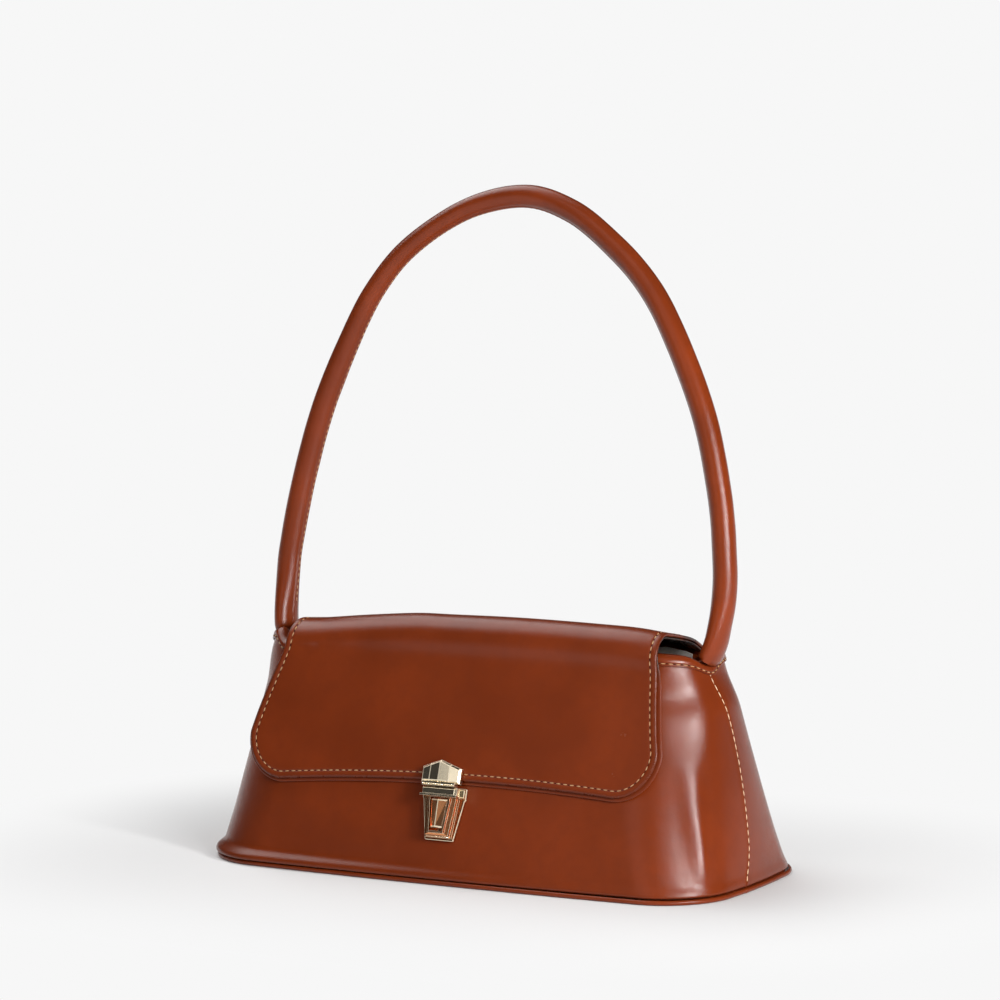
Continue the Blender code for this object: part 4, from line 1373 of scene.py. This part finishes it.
def root_offset(height):
    """How far the middle of the flap's root stands off the back panel: close to it at the low edge, then
    out over the rim band."""
    over_leg = 1.10 * smooth_step(height, 0.0915, 0.0960)
    over_crown = 1.20 * smooth_step(height, 0.0975, 0.1027)
    return (0.45 + over_leg + over_crown) * MM


def back_line(x, run):
    """Depth and height of the flap's root: up the back panel, round the hinge and on over the top."""
    if run > root_bend:
        return flap_line(x, run)
    sag = hinge_sag(x) * smooth_step(run, root_low - hinge_height, -root_bend)
    height = hinge_height + min(run, -root_bend) - sag
    low = Vector((panel_depth(BACK, x, height) + root_offset(height), height))
    if run < -root_bend:
        return low
    high = flap_line(x, root_bend)
    share = (run + root_bend) / (2 * root_bend)
    corner = Vector((low.x - 0.4 * MM, flap_line(x, 0.0).y))
    return low * (1 - share) ** 2 + corner * 2 * share * (1 - share) + high * share ** 2


def back_point(x, run, lift):
    """A point over the middle surface of the flap's root and the rear of its top."""
    step = 0.3 * MM
    line = back_line(x, run)
    along = back_line(x, run + step) - back_line(x, run - step)
    away = Vector((along.y, -along.x)).normalized()
    lift += smooth_step(run, 0.0, 0.02) * flap_wave(Vector((x, line.x, line.y)))
    return Vector((x, line.x + away.x * lift, line.y + away.y * lift))


def back_half_width(run):
    """Half width of the root and of the rear of the top. The root keeps the width at the hinge."""
    return flap_half_width(max(run, 0.0), front_start)


def flap_back_skin(name, low, facing, material):
    """The root of the flap and the rear of its top, as one sheet with rounded side edges."""
    outer, inner = facing_faces if facing else leather_faces
    reach = facing_reach(0.0) if facing else 0.0
    middle = (outer + inner) / 2
    half = (outer - inner) / 2
    profile = rounded_edge(half) + [(distance * MM, half) for distance in back_bands]
    lifts = [lift for distance, lift in profile]
    levels = 46
    steps = 44
    rings = []
    edges = []
    for i, run in enumerate(even(low, flap_split, levels + 1)):
        width = back_half_width(run) + reach
        across = [width - distance for distance, lift in profile]
        field = even(across[-1], -across[-1], steps + 1)[1:-1]
        xs = across + field + [-x for x in reversed(across)]
        thin = 0.5 if i == 0 else 1.0
        upper = []
        lower = []
        wear = []
        for x, lift in zip(xs, lifts + [half] * len(field) + list(reversed(lifts))):
            dent = 0.0 if facing else stitch_dent(width - abs(x))
            upper.append(back_point(x, run, middle + lift * thin - dent))
            lower.append(back_point(x, run, middle - lift * thin))
            wear.append(0.9 * math.exp(-max(width - abs(x) - half, 0.0) / (0.45 * MM)))
        rings.append(upper + list(reversed(lower)))
        edges.append(wear + [0.0] * len(lower))
    return loft(name, rings, material, edges)


class BAG_OT_flap(bpy.types.Operator):
    """Makes the flap: its leather, the facing under it, painted dark as the shade under the flap, and the
    stitches round its edge
    """
    bl_idname = "bag.flap"
    bl_label = "Flap"

    def execute(self, context):
        strip_low = root_low - hinge_height
        leather = finish("smooth_leather")
        dark = finish("under_flap")
        back = flap_back_skin("flap_back", strip_low, False, leather)
        self.bend_back(back, "cognac_leather", "flap_seam_strip", "flap_top_leather")
        under = flap_back_skin("flap_back_facing", facing_start, True, dark)
        self.bend_back(under, "flap_lining", "flap_top_lining")
        front = flap_front_skin("flap_front", False, leather)
        self.bend_front(front, "cognac_leather", "flap_front_leather")
        facing = flap_front_skin("flap_front_facing", True, dark)
        self.bend_front(facing, "flap_lining", "flap_front_lining")
        self.stitches(context.scene.bag_flap.stitch_inset, strip_low)
        return {"FINISHED"}

    def bend_back(self, thing, slot, *nodes):
        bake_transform(thing)
        put(thing, None, slot, *nodes)

    def bend_front(self, thing, slot, *nodes):
        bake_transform(thing)
        put(thing, None, slot, *nodes)

    def stitches(self, inset, strip_low):
        low = flap_half_thickness - 0.10 * MM
        high = low + 1 * MM
        outline = flap_outline()
        places = [point + direction * inset for point, direction in zip(outline, inward_directions(outline))]
        spots = [(flap_point(p.x, p.y, low), flap_point(p.x, p.y, high)) for p in places]
        self.bend_front(stitch_row("flap_front_stitches", spots), "cognac_leather")
        first = strip_low + 3 * MM
        for hand, word in hands:
            spots = []
            for run in even(first, flap_split, 50):
                x = hand * (back_half_width(run) - inset)
                spots.append((back_point(x, run, low), back_point(x, run, high)))
            self.bend_back(stitch_row(f"flap_back_stitches_{word}", spots), "cognac_leather")
        for level, word in ((3.2 * MM, "low"), (13.0 * MM, "high")):
            run = strip_low + level
            reach = back_half_width(run) - inset
            spots = [(back_point(x, run, low), back_point(x, run, high)) for x in even(reach, -reach, 61)]
            put(stitch_row(f"flap_root_stitches_{word}", spots), "bag_body", "cognac_leather")


# Handle

# Half of the arch from each root up towards the apex, as shares of its spread and its rise
left_arch_shares = ((0.994, 0.050), (0.995, 0.132), (0.986, 0.200), (0.942, 0.355), (0.865, 0.525),
                    (0.740, 0.700), (0.640, 0.800), (0.500, 0.886), (0.262, 0.968))
right_arch_shares = ((0.975, 0.050), (0.991, 0.132), (0.984, 0.210), (0.946, 0.350), (0.860, 0.520),
                     (0.725, 0.680), (0.590, 0.800), (0.420, 0.892), (0.220, 0.968))
# Thickness of the roll as shares of its radius, by the share of its length from the left root
roll_shares = ((0.0, 1.0), (0.22, 1.0), (0.34, 0.86), (0.42, 0.84), (0.50, 0.92), (0.60, 0.95), (0.75, 1.0),
               (1.0, 1.0))


def curve_through(nodes, steps):
    """Points of a smooth curve through the nodes, with some steps between each two."""
    points = []
    for i in range(len(nodes) - 1):
        a = nodes[max(i - 1, 0)]
        b = nodes[i]
        c = nodes[i + 1]
        d = nodes[min(i + 2, len(nodes) - 1)]
        for k in range(steps):
            t = k / steps
            points.append(((2 * b) + (c - a) * t + (2 * a - 5 * b + 4 * c - d) * t ** 2
                           + (3 * b - a - 3 * c + d) * t ** 3) / 2)
    return points + [nodes[-1]]


def even_steps(points, steps):
    """The same line in steps of equal length, and its whole length."""
    lengths = [0.0]
    for first, second in zip(points, points[1:]):
        lengths.append(lengths[-1] + (second - first).length)
    total = lengths[-1]
    route = []
    k = 0
    for i in range(steps + 1):
        target = total * i / steps
        while k < len(lengths) - 2 and lengths[k + 1] < target:
            k += 1
        share = (target - lengths[k]) / (lengths[k + 1] - lengths[k])
        route.append(points[k].lerp(points[k + 1], share))
    return route, total


def handle_route(steps):
    """The arch from the left root over the apex to the right root, as spreads and rises, and its length."""
    sizes = bpy.context.scene.bag_handle
    root = sizes.root_spread
    shares = [(-spread, rise) for spread, rise in left_arch_shares]
    shares += [(0.0, 1.0)] + list(reversed(right_arch_shares))
    nodes = [Vector((-root - 0.8 * MM, -3.4 * MM)), Vector((-root - 2.0 * MM, 0.0))]
    nodes += [Vector((spread * sizes.spread, rise * sizes.rise)) for spread, rise in shares]
    nodes += [Vector((root - 2.4 * MM, 0.0)), Vector((root - 5.0 * MM, -3.4 * MM))]
    return even_steps(curve_through(nodes, 24), steps)


def handle_place(spread, rise):
    """A point of the leaning plane that the arch lies in."""
    return Vector((spread, math.sin(handle_lean) * rise, handle_pivot_height + math.cos(handle_lean) * rise))


def roll_angles():
    """Places round the roll, measured from the inside of the arch and closest together at its seam."""
    near = [0.0, 0.06, 0.12, 0.17, 0.21, 0.25, 0.30, 0.40, 0.55]
    half = near + even(near[-1], math.pi, 13)[1:]
    return [-angle for angle in reversed(half[1:])][1:] + half


def root_flatness(from_root):
    """1 at a root of the handle and 0 where the roll is round."""
    return 1 - smooth_step(from_root, 2 * MM, 34 * MM)


def root_close(from_root):
    """How much of its size the roll has at its very ends, where it is closed by a round cap."""
    if from_root > 3 * MM:
        return 1.0
    return math.sqrt(max(1 - ((3 * MM - from_root) / (3.2 * MM)) ** 2, 0.02))


def roll_rings(radius, seam_lift, steps, soft):
    """Rings of the roll, which flattens towards its two roots. A soft roll has puckers and a worn seam."""
    sizes = bpy.context.scene.bag_handle
    route, total = handle_route(steps)
    rings = []
    edges = []
    flat_normal = Vector((0.0, math.cos(handle_lean), -math.sin(handle_lean)))
    for i, centre in enumerate(route):
        before = route[max(i - 1, 0)]
        after = route[min(i + 1, steps)]
        along = (after - before).normalized()
        inner = Vector((along.y, -along.x))
        from_root = total * min(i, steps - i) / steps
        flat = root_flatness(from_root)
        size = radius * through(roll_shares, i / steps)
        thin = size * (1 - 0.16 * flat)
        wide = size * (1 + 0.45 * flat)
        close = root_close(from_root)
        ring = []
        wear = []
        for angle in roll_angles():
            arc = abs(angle) * radius
            ridge = 1 - smooth_step(arc, sizes.seam_width * 0.40, sizes.seam_width * 0.62)
            deep = thin * math.cos(angle) + seam_lift * (ridge - 0.25 * bell(arc, 0.0, 0.25 * MM))
            spot = centre + inner * deep * close
            place = handle_place(spot.x, spot.y) + flat_normal * wide * math.sin(angle) * close
            if soft:
                pucker = noise.noise(place / 0.012) * (0.10 + 0.30 * flat) + noise.noise(place / 0.030) * 0.12
                outward = (place - handle_place(centre.x, centre.y)).normalized()
                place = place + outward * pucker * MM
            ring.append(place)
            wear.append(0.55 * bell(arc, sizes.seam_width * 0.52, 0.28 * MM) if soft else 0.0)
        rings.append(ring)
        edges.append(wear)
    return rings, edges


roll_steps = 260
core_steps = 120


class BAG_OT_handle(bpy.types.Operator):
    """Makes the padded handle roll, the cord inside it and its two sewn ends"""
    bl_idname = "bag.handle"
    bl_label = "Handle"

    def execute(self, context):
        sizes = context.scene.bag_handle
        rings, edges = roll_rings(sizes.radius, sizes.seam_lift, roll_steps, True)
        roll = loft("handle_roll", rings, finish("handle_leather"), edges, sharp=60.0)
        self.bend(roll, "cognac_leather", "handle_cover")
        core_radius = sizes.radius - sizes.cover - 0.6 * MM
        rings, edges = roll_rings(core_radius, 0.0, core_steps, False)
        core = loft("handle_cord", rings, finish("padding_cord"), edges, sharp=60.0)
        self.bend(core, "handle_padding", "handle_core")
        self.seam_stitches(sizes)
        for hand, word in reversed(hands):
            self.tab(hand, word)
        return {"FINISHED"}

    def bend(self, thing, slot, *nodes):
        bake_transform(thing)
        put(thing, None, slot, *nodes)

    def seam_stitches(self, sizes):
        """The thread along the inside of the arch."""
        route, total = handle_route(roll_steps)
        spots = []
        for i in range(8, roll_steps - 7):
            along = (route[i + 1] - route[i - 1]).normalized()
            inner = Vector((along.y, -along.x))
            flat = root_flatness(total * min(i, roll_steps - i) / roll_steps)
            thin = sizes.radius * through(roll_shares, i / roll_steps) * (1 - 0.16 * flat)
            reach = thin + sizes.seam_lift * 0.75
            near = route[i] + inner * reach
            far = route[i] + inner * (reach + 1 * MM)
            spots.append((handle_place(near.x, near.y), handle_place(far.x, far.y)))
        self.bend(stitch_row("handle_seam_stitches", spots, 0.85), "cognac_leather")

    def tab(self, hand, word):
        """The flat end of the handle, sewn inside the bag over the side seam."""
        low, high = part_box("handle_tab_" + word)
        inset = wall_thickness + 2 * fit_gap + rim_thickness
        half_width = 8 * MM
        half_thickness = 1.1 * MM
        levels = 22
        round_levels = levels * 0.2

        def squared(value):
            return math.copysign(abs(value) ** 0.35, value)

        rings = []
        for i, height in enumerate(even(low.z, high.z, levels + 1)):
            section = wall_section(FRONT, height)
            crown = section.end_crown * (half_width / section.half_depth) ** 2
            outer = section.half_length - inset * wall_lean(FRONT) - crown
            wide = half_width
            if i < round_levels:
                wide *= math.sqrt(max(1 - ((round_levels - i) / round_levels) ** 2, 0.15))
            ring = []
            for angle in around(24):
                x = outer - half_thickness + half_thickness * squared(math.cos(angle))
                ring.append(Vector((hand * x, wide * squared(math.sin(angle)), height)))
            rings.append(ring)
        tab = loft("tab_" + word, rings, finish("handle_leather"))
        put(tab, "bag_body", "cognac_leather", "handle_tab_" + word)


# Lock

# Places of the frame on the front panel and of the cap on the flap, which sits a little to the left. The
# lock's own sizes are in millimetres.
lock_place = Matrix(((1, 0, 0, 0), (0, 0.2891, -0.9573, -0.0553), (0, 0.9573, 0.2891, 0.0199), (0, 0, 0, 1)))
cap_place = Matrix(((1, 0, 0, -0.0012), (0, 0.3188, -0.9478, -0.0477), (0, 0.9478, 0.3188, 0.0448),
                    (0, 0, 0, 1)))

bead_radius = 0.44
frame_bevel = 0.30
facet_bevel = 0.26
neck_bevel = 0.10
cap_seat = 3.4
cap_half_width = 10.3
cap_peak = 10.6
cap_fall = 3.4
# Rises of the cap at its ridge, its shoulders and its sides, and the shoulders' share of the width
ridge_rise = 4.5
shoulder_rise = 3.85
side_rise = 2.7
shoulder = 0.54
# The window's frame from its outer foot over its steps to its inner foot: half widths at the bottom and
# the top, the bottom, the top and the lift
frame_steps = ((7.1, 9.1, 1.1, 20.4, 1.3), (7.1, 9.1, 1.1, 20.4, 2.9), (6.3, 8.2, 2.1, 20.3, 3.0),
               (6.2, 8.1, 2.2, 20.3, 4.7), (4.2, 6.0, 3.0, 20.2, 4.9), (4.1, 5.9, 3.1, 20.2, 6.3),
               (3.4, 4.9, 3.9, 19.6, 6.3), (3.4, 4.9, 3.9, 19.6, 1.3))
collar_steps = ((9.2, 9.2, 20.7, 24.2, 1.4), (9.2, 9.2, 20.7, 24.2, 6.6), (8.3, 8.3, 21.0, 23.4, 7.9))
flange_steps = ((9.6, 9.6, 19.9, 20.7, 1.4), (9.6, 9.6, 19.9, 20.7, 8.1))
neck_steps = ((8.6, 8.6, -1.5, 0.4, cap_seat), (8.6, 8.6, -1.5, 0.4, cap_seat + 3.6))
plate_side = ((7.2, 0.0), (7.6, 0.5), (11.0, 19.0), (11.4, 19.4), (11.4, 24.2), (10.9, 24.7))
plate_block = ((8.9, 20.3), (10.6, 20.3), (10.6, 24.0), (8.9, 24.0))


def mirrored(right_side):
    """A ring from its right side: up on the right and down on the left."""
    return list(right_side) + [(-x, y) for x, y in reversed(right_side)]


def stepped(steps):
    """Rings with four corners and their lifts."""
    return [(mirrored([(bottom_half, low), (top_half, high)]), lift)
            for bottom_half, top_half, low, high, lift in steps]


def metal_faces(builder, loops, closed, bright):
    """Faces between the loops, and over both ends unless the form closes on itself."""
    count = len(loops[0])
    faces = []
    for first, second in zip(loops, loops[1:] + loops[:1] if closed else loops[1:]):
        for k in range(count):
            m = (k + 1) % count
            faces.append(builder.faces.new((first[k], first[m], second[m], second[k])))
    for loop in () if closed else (loops[0], loops[-1]):
        for k in range(count // 2 - 1):
            corners = (loop[k], loop[k + 1], loop[count - 2 - k], loop[count - 1 - k])
            faces.append(builder.faces.new(corners))
    for face in faces:
        # Faces that are not bright take the painted copper reflection.
        face.material_index = int(bright)


def metal_object(name, builder, bevel, angle):
    """A metal object from its faces, with a painted highlight on the bevels of its edges."""
    bmesh.ops.recalc_face_normals(builder, faces=builder.faces)
    mesh = bpy.data.meshes.new(name)
    builder.to_mesh(mesh)
    builder.free()
    for material in ("gold_recess", "pale_gold", "gold_edge"):
        mesh.materials.append(finish(material))
    thing = bpy.data.objects.new(name, mesh)
    bpy.context.scene.collection.objects.link(thing)
    edge = thing.modifiers.new("Bevel", "BEVEL")
    edge.width = bevel * MM
    edge.segments = 2
    edge.limit_method = "ANGLE"
    edge.angle_limit = math.radians(angle)
    # The bevels get the painted highlight finish.
    edge.material = 2
    return thing


def metal_piece(name, parts, place, bevel=frame_bevel):
    """Closed metal forms in one mesh. Each part has its rings with their lifts, whether it closes on itself,
    and whether its faces are bright. Faces that are not bright take a copper colour, a painted reflection of
    the leather and painted shade."""
    builder = bmesh.new()
    for rings, closed, bright in parts:
        loops = []
        for ring, lift in rings:
            loops.append([builder.verts.new(place @ (Vector((x, y, lift)) * MM)) for x, y in ring])
        metal_faces(builder, loops, closed, bright)
    return metal_object(name, builder, bevel, 20)


def faceted_piece(name, shares, low, high, layers, place, bright, angle):
    """A metal form whose top is folded into upright facets. low has its lower edge's half width and height,
    high those of its upper edge and the fall towards its corners, and each layer an inset and a lift."""
    builder = bmesh.new()
    low_half, low_edge = low
    high_half, high_edge, fall = high
    loops = []
    for inset, lift in layers:
        points = [(share * (low_half - inset), low_edge + inset, lift(share)) for share in shares]
        points += [(share * (high_half - inset), high_edge - fall * abs(share) - inset, lift(share))
                   for share in reversed(shares)]
        loops.append([builder.verts.new(place @ (Vector(point) * MM)) for point in points])
    metal_faces(builder, loops, False, bright)
    return metal_object(name, builder, facet_bevel, angle)


def bead_row(name, place, half_length, y, lift, count):
    """A straight row of small metal beads."""
    spots = [place @ (Vector((x, y, lift)) * MM) for x in even(-half_length, half_length, count)]
    row = path_object(name, [(spot, spot + Vector((0, 0, 1))) for spot in spots])
    return run_tree(row, bead_tree(), {"Radius": bead_radius * MM, "Metal": finish("pale_gold")})


class BAG_OT_lock(bpy.types.Operator):
    """Makes the push lock: plate, stepped frame with its collar, ridged button and the cap on the flap"""
    bl_idname = "bag.lock"
    bl_label = "Push lock"

    def execute(self, context):
        self.plate()
        self.case()
        self.button()
        self.cap()
        for name in ("lock_spring", "lock_washer", "cap_back_plate"):
            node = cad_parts[name]
            node.data.materials.clear()
            node.data.materials.append(finish("satin_steel"))
        return {"FINISHED"}

    def plate(self):
        base = mirrored(plate_side)
        parts = [([(base, 0.5), (base, 1.7)], False, False)]
        for hand in (-1, 1):
            block = [(hand * x, y) for x, y in plate_block]
            parts.append(([(block, 1.2), (block, 2.4)], False, True))
        plate = metal_piece("lock_base_plate", parts, lock_place)
        put(plate, "bag_body", "pale_gold_metal", "lock_plate")

    def case(self):
        parts = [(stepped(frame_steps), True, False), (stepped(collar_steps), False, True),
                 (stepped(flange_steps), False, True)]
        case = metal_piece("lock_frame", parts, lock_place)
        put(case, "bag_body", "pale_gold_metal", "lock_case")
        beads = bead_row("lock_frame_beads", lock_place, 5.9, 1.65, 3.1, 14)
        put(beads, "bag_body", "pale_gold_metal")

    def button(self):
        layers = ((0.0, lambda share: 1.9), (0.0, lambda share: 6.5 - 0.9 * abs(share)),
                  (0.5, lambda share: 7.2 - 1.3 * abs(share)))
        button = faceted_piece("lock_push_button", (-1, 0, 1), (3.1, 5.5), (4.3, 18.8, 0.0), layers,
                               lock_place, False, 12)
        put(button, "lock_button", "pale_gold_metal", "lock_button")

    def cap(self):
        def roof(share):
            near = abs(share)
            if near <= shoulder:
                return cap_seat + ridge_rise + (shoulder_rise - ridge_rise) * near / shoulder
            beyond = (near - shoulder) / (1 - shoulder)
            return cap_seat + shoulder_rise + (side_rise - shoulder_rise) * beyond

        layers = ((0.0, lambda share: cap_seat), (0.0, lambda share: roof(share) - 1.0), (0.9, roof))
        cap = faceted_piece("lock_house_cap", (-1, -shoulder, 0, shoulder, 1), (cap_half_width, 0.0),
                            (cap_half_width, cap_peak, cap_fall), layers, cap_place, True, 5)
        put(cap, "flap_front", "pale_gold_metal", "lock_cap")
        neck = metal_piece("lock_cap_neck", [(stepped(neck_steps), False, True)], cap_place, neck_bevel)
        put(neck, "flap_front", "pale_gold_metal")
        beads = bead_row("lock_cap_beads", cap_place, 8.0, -0.85, cap_seat + 3.65, 18)
        put(beads, "flap_front", "pale_gold_metal")


# Stage

# Each lamp's name, direction in degrees from the front, height in degrees, distance, size and power
studio_lamps = (
    ("right_box", 58, 20, 1.3, (0.55, 0.36), 9.5),
    ("front_box", 8, 52, 1.7, (1.0, 0.8), 2.2),
    ("left_top_box", -105, 57, 1.5, (1.3, 1.1), 16.0),
    ("front_card", -4, 24, 1.5, (0.62, 0.5), 1.0),
    ("corner_strip", 67, 18, 1.2, (0.12, 0.24), 8.0),
)


# The camera that took the photo: directions in degrees, its lens in millimetres, and places in metres
camera_azimuth = 30
camera_elevation = 6.8
camera_roll = -0.8
camera_lens = 167.57
camera_aim = Vector((0.0023, 0.0, 0.1719))
camera_distance = 2.170
lamp_aim = Vector((0.0, 0.0, 0.08))
# The floor takes shadow over the bag's middle and turns into the plain background away from it
floor_half_size = 300.0
shadow_middle = (0.11, 0.035, 0.0)
shadow_start = 0.03
shadow_end = 0.19


def direction(azimuth, elevation):
    """The direction from the bag for degrees round from the front and degrees up."""
    turn = math.radians(azimuth)
    rise = math.radians(elevation)
    return Vector((math.sin(turn) * math.cos(rise), -math.cos(turn) * math.cos(rise), math.sin(rise)))


def lamp(name, azimuth, elevation, distance, size, power):
    data = bpy.data.lights.new(name, "AREA")
    data.shape = "RECTANGLE"
    data.size = size[0]
    data.size_y = size[1]
    data.energy = power
    thing = bpy.data.objects.new(name, data)
    bpy.context.scene.collection.objects.link(thing)
    away = direction(azimuth, elevation)
    thing.location = lamp_aim + away * distance
    thing.rotation_euler = away.to_track_quat("Z", "Y").to_euler()


class BAG_OT_stage(bpy.types.Operator):
    """Makes the pale floor, the soft lights and the camera"""
    bl_idname = "bag.stage"
    bl_label = "Stage"

    def execute(self, context):
        self.floor(context.scene.bag_stage)
        self.world(context.scene.bag_stage)
        for settings in studio_lamps:
            lamp(*settings)
        self.camera(context)
        context.scene.view_settings.view_transform = "Standard"
        return {"FINISHED"}

    def camera(self, context):
        data = bpy.data.cameras.new("photo_camera")
        data.sensor_width = 36.0
        data.lens = camera_lens
        data.clip_end = 2000.0
        camera = bpy.data.objects.new("photo_camera", data)
        context.scene.collection.objects.link(camera)
        azimuth = math.radians(camera_azimuth)
        roll = math.radians(camera_roll)
        back = direction(camera_azimuth, camera_elevation)
        right = Vector((math.cos(azimuth), math.sin(azimuth), 0.0))
        up = back.cross(right)
        turned_right = right * math.cos(roll) + up * math.sin(roll)
        turned_up = up * math.cos(roll) - right * math.sin(roll)
        matrix = Matrix((turned_right, turned_up, back)).transposed().to_4x4()
        matrix.translation = camera_aim + back * camera_distance
        camera.matrix_world = matrix
        context.scene.camera = camera

    def floor(self, look):
        signs = ((-1, -1), (1, -1), (1, 1), (-1, 1))
        corners = [(x * floor_half_size, y * floor_half_size, 0) for x, y in signs]
        mesh = bpy.data.meshes.new("floor")
        mesh.from_pydata(corners, [], [(0, 1, 2, 3)])
        floor = bpy.data.objects.new("floor", mesh)
        bpy.context.scene.collection.objects.link(floor)
        tree = new_tree("floor_paint")
        seen = self.seen(tree)
        place = tree.place()
        folded = tree.vector("ABSOLUTE", place).out("Vector")
        beyond = tree.vector("SUBTRACT", folded, shadow_middle).out("Vector")
        outside = tree.vector("MAXIMUM", beyond, (0.0, 0.0, 0.0)).out("Vector")
        away = tree.vector("LENGTH", outside).out("Value")
        share = (away.between(shadow_start, shadow_end) * 0.95 + 0.05) * seen
        pale = (look.pale, look.pale, look.pale, 1.0)
        tint = tree.mix(tree.noise(place, 3.0), (look.paint * 0.995,) * 3, (look.paint,) * 3)
        plain = tree.node("ShaderNodeBsdfDiffuse", None, {"Color": tint}).out("BSDF")
        bright = tree.node("ShaderNodeEmission", None, {"Color": pale, "Strength": 1.0}).out("Emission")
        mixed = tree.node("ShaderNodeMixShader", None, {0: share, 1: plain, 2: bright})
        tree.node("ShaderNodeOutputMaterial", None, {"Surface": mixed.out("Shader")})
        mesh.materials.append(tree.owner)

    def seen(self, tree):
        """1 for what the camera, a mirror or glass sees."""
        path = tree.node("ShaderNodeLightPath")
        rays = path.out("Is Camera Ray") + path.out("Is Glossy Ray") + path.out("Is Transmission Ray")
        return rays.clamped()

    def world(self, look):
        """Pale all round for the camera, pale near the horizon and dim overhead for reflections."""
        world = bpy.data.worlds.new("studio")
        bpy.context.scene.world = world
        tree = ShaderTree(world)
        path = tree.node("ShaderNodeLightPath")
        height = tree.node("ShaderNodeSeparateXYZ", None, {
            "Vector": tree.node("ShaderNodeTexCoord").out("Generated")}).out("Z")
        mirror = path.out("Is Glossy Ray")
        high = height.between(0.0, 0.09)
        seen = (path.out("Is Camera Ray") + path.out("Is Transmission Ray") + mirror * (1 - high)).clamped()
        level = look.ambient - mirror * (look.ambient - look.overhead)
        plain = tree.node("ShaderNodeBackground", None, {"Color": (1.0, 1.0, 1.0, 1.0), "Strength": level})
        pale = tree.node("ShaderNodeBackground", None, {"Color": (look.pale, look.pale, look.pale, 1.0)})
        mixed = tree.node("ShaderNodeMixShader", None, {
            0: seen, 1: plain.out("Background"), 2: pale.out("Background")})
        tree.node("ShaderNodeOutputWorld", None, {"Surface": mixed.out("Shader")})


class BAG_PT_panel(bpy.types.Panel):
    """Lists the bag's pieces in the sidebar"""
    bl_idname = "BAG_PT_panel"
    bl_label = "Handbag"
    bl_space_type = "VIEW_3D"
    bl_region_type = "UI"
    bl_category = "Handbag"

    def draw(self, context):
        for operator in operators:
            self.layout.operator(operator.bl_idname)
        for name in property_groups:
            box = self.layout.box()
            group = getattr(context.scene, name)
            for label in group.bl_rna.properties.keys():
                if label not in ("name", "rna_type"):
                    box.prop(group, label)


operators = (BAG_OT_walls, BAG_OT_inner_walls, BAG_OT_rims, BAG_OT_base, BAG_OT_side_stitches, BAG_OT_flap,
             BAG_OT_handle, BAG_OT_lock, BAG_OT_stage)
property_groups = {
    "bag_body": BodySizes, "bag_flap": FlapSizes, "bag_handle": HandleSizes, "bag_threads": ThreadSizes,
    "bag_finishes": FinishColours, "bag_stage": StageLook,
}


def register():
    for name, group in property_groups.items():
        bpy.utils.register_class(group)
        setattr(bpy.types.Scene, name, bpy.props.PointerProperty(type=group))
    for operator in operators:
        bpy.utils.register_class(operator)
    bpy.utils.register_class(BAG_PT_panel)


def unregister():
    bpy.utils.unregister_class(BAG_PT_panel)
    for operator in reversed(operators):
        bpy.utils.unregister_class(operator)
    for name, group in property_groups.items():
        delattr(bpy.types.Scene, name)
        bpy.utils.unregister_class(group)


def main():
    register()
    for operator in operators:
        category, name = operator.bl_idname.split(".")
        getattr(getattr(bpy.ops, category), name)()
    bpy.context.view_layer.update()


if __name__ == "__main__":
    main()
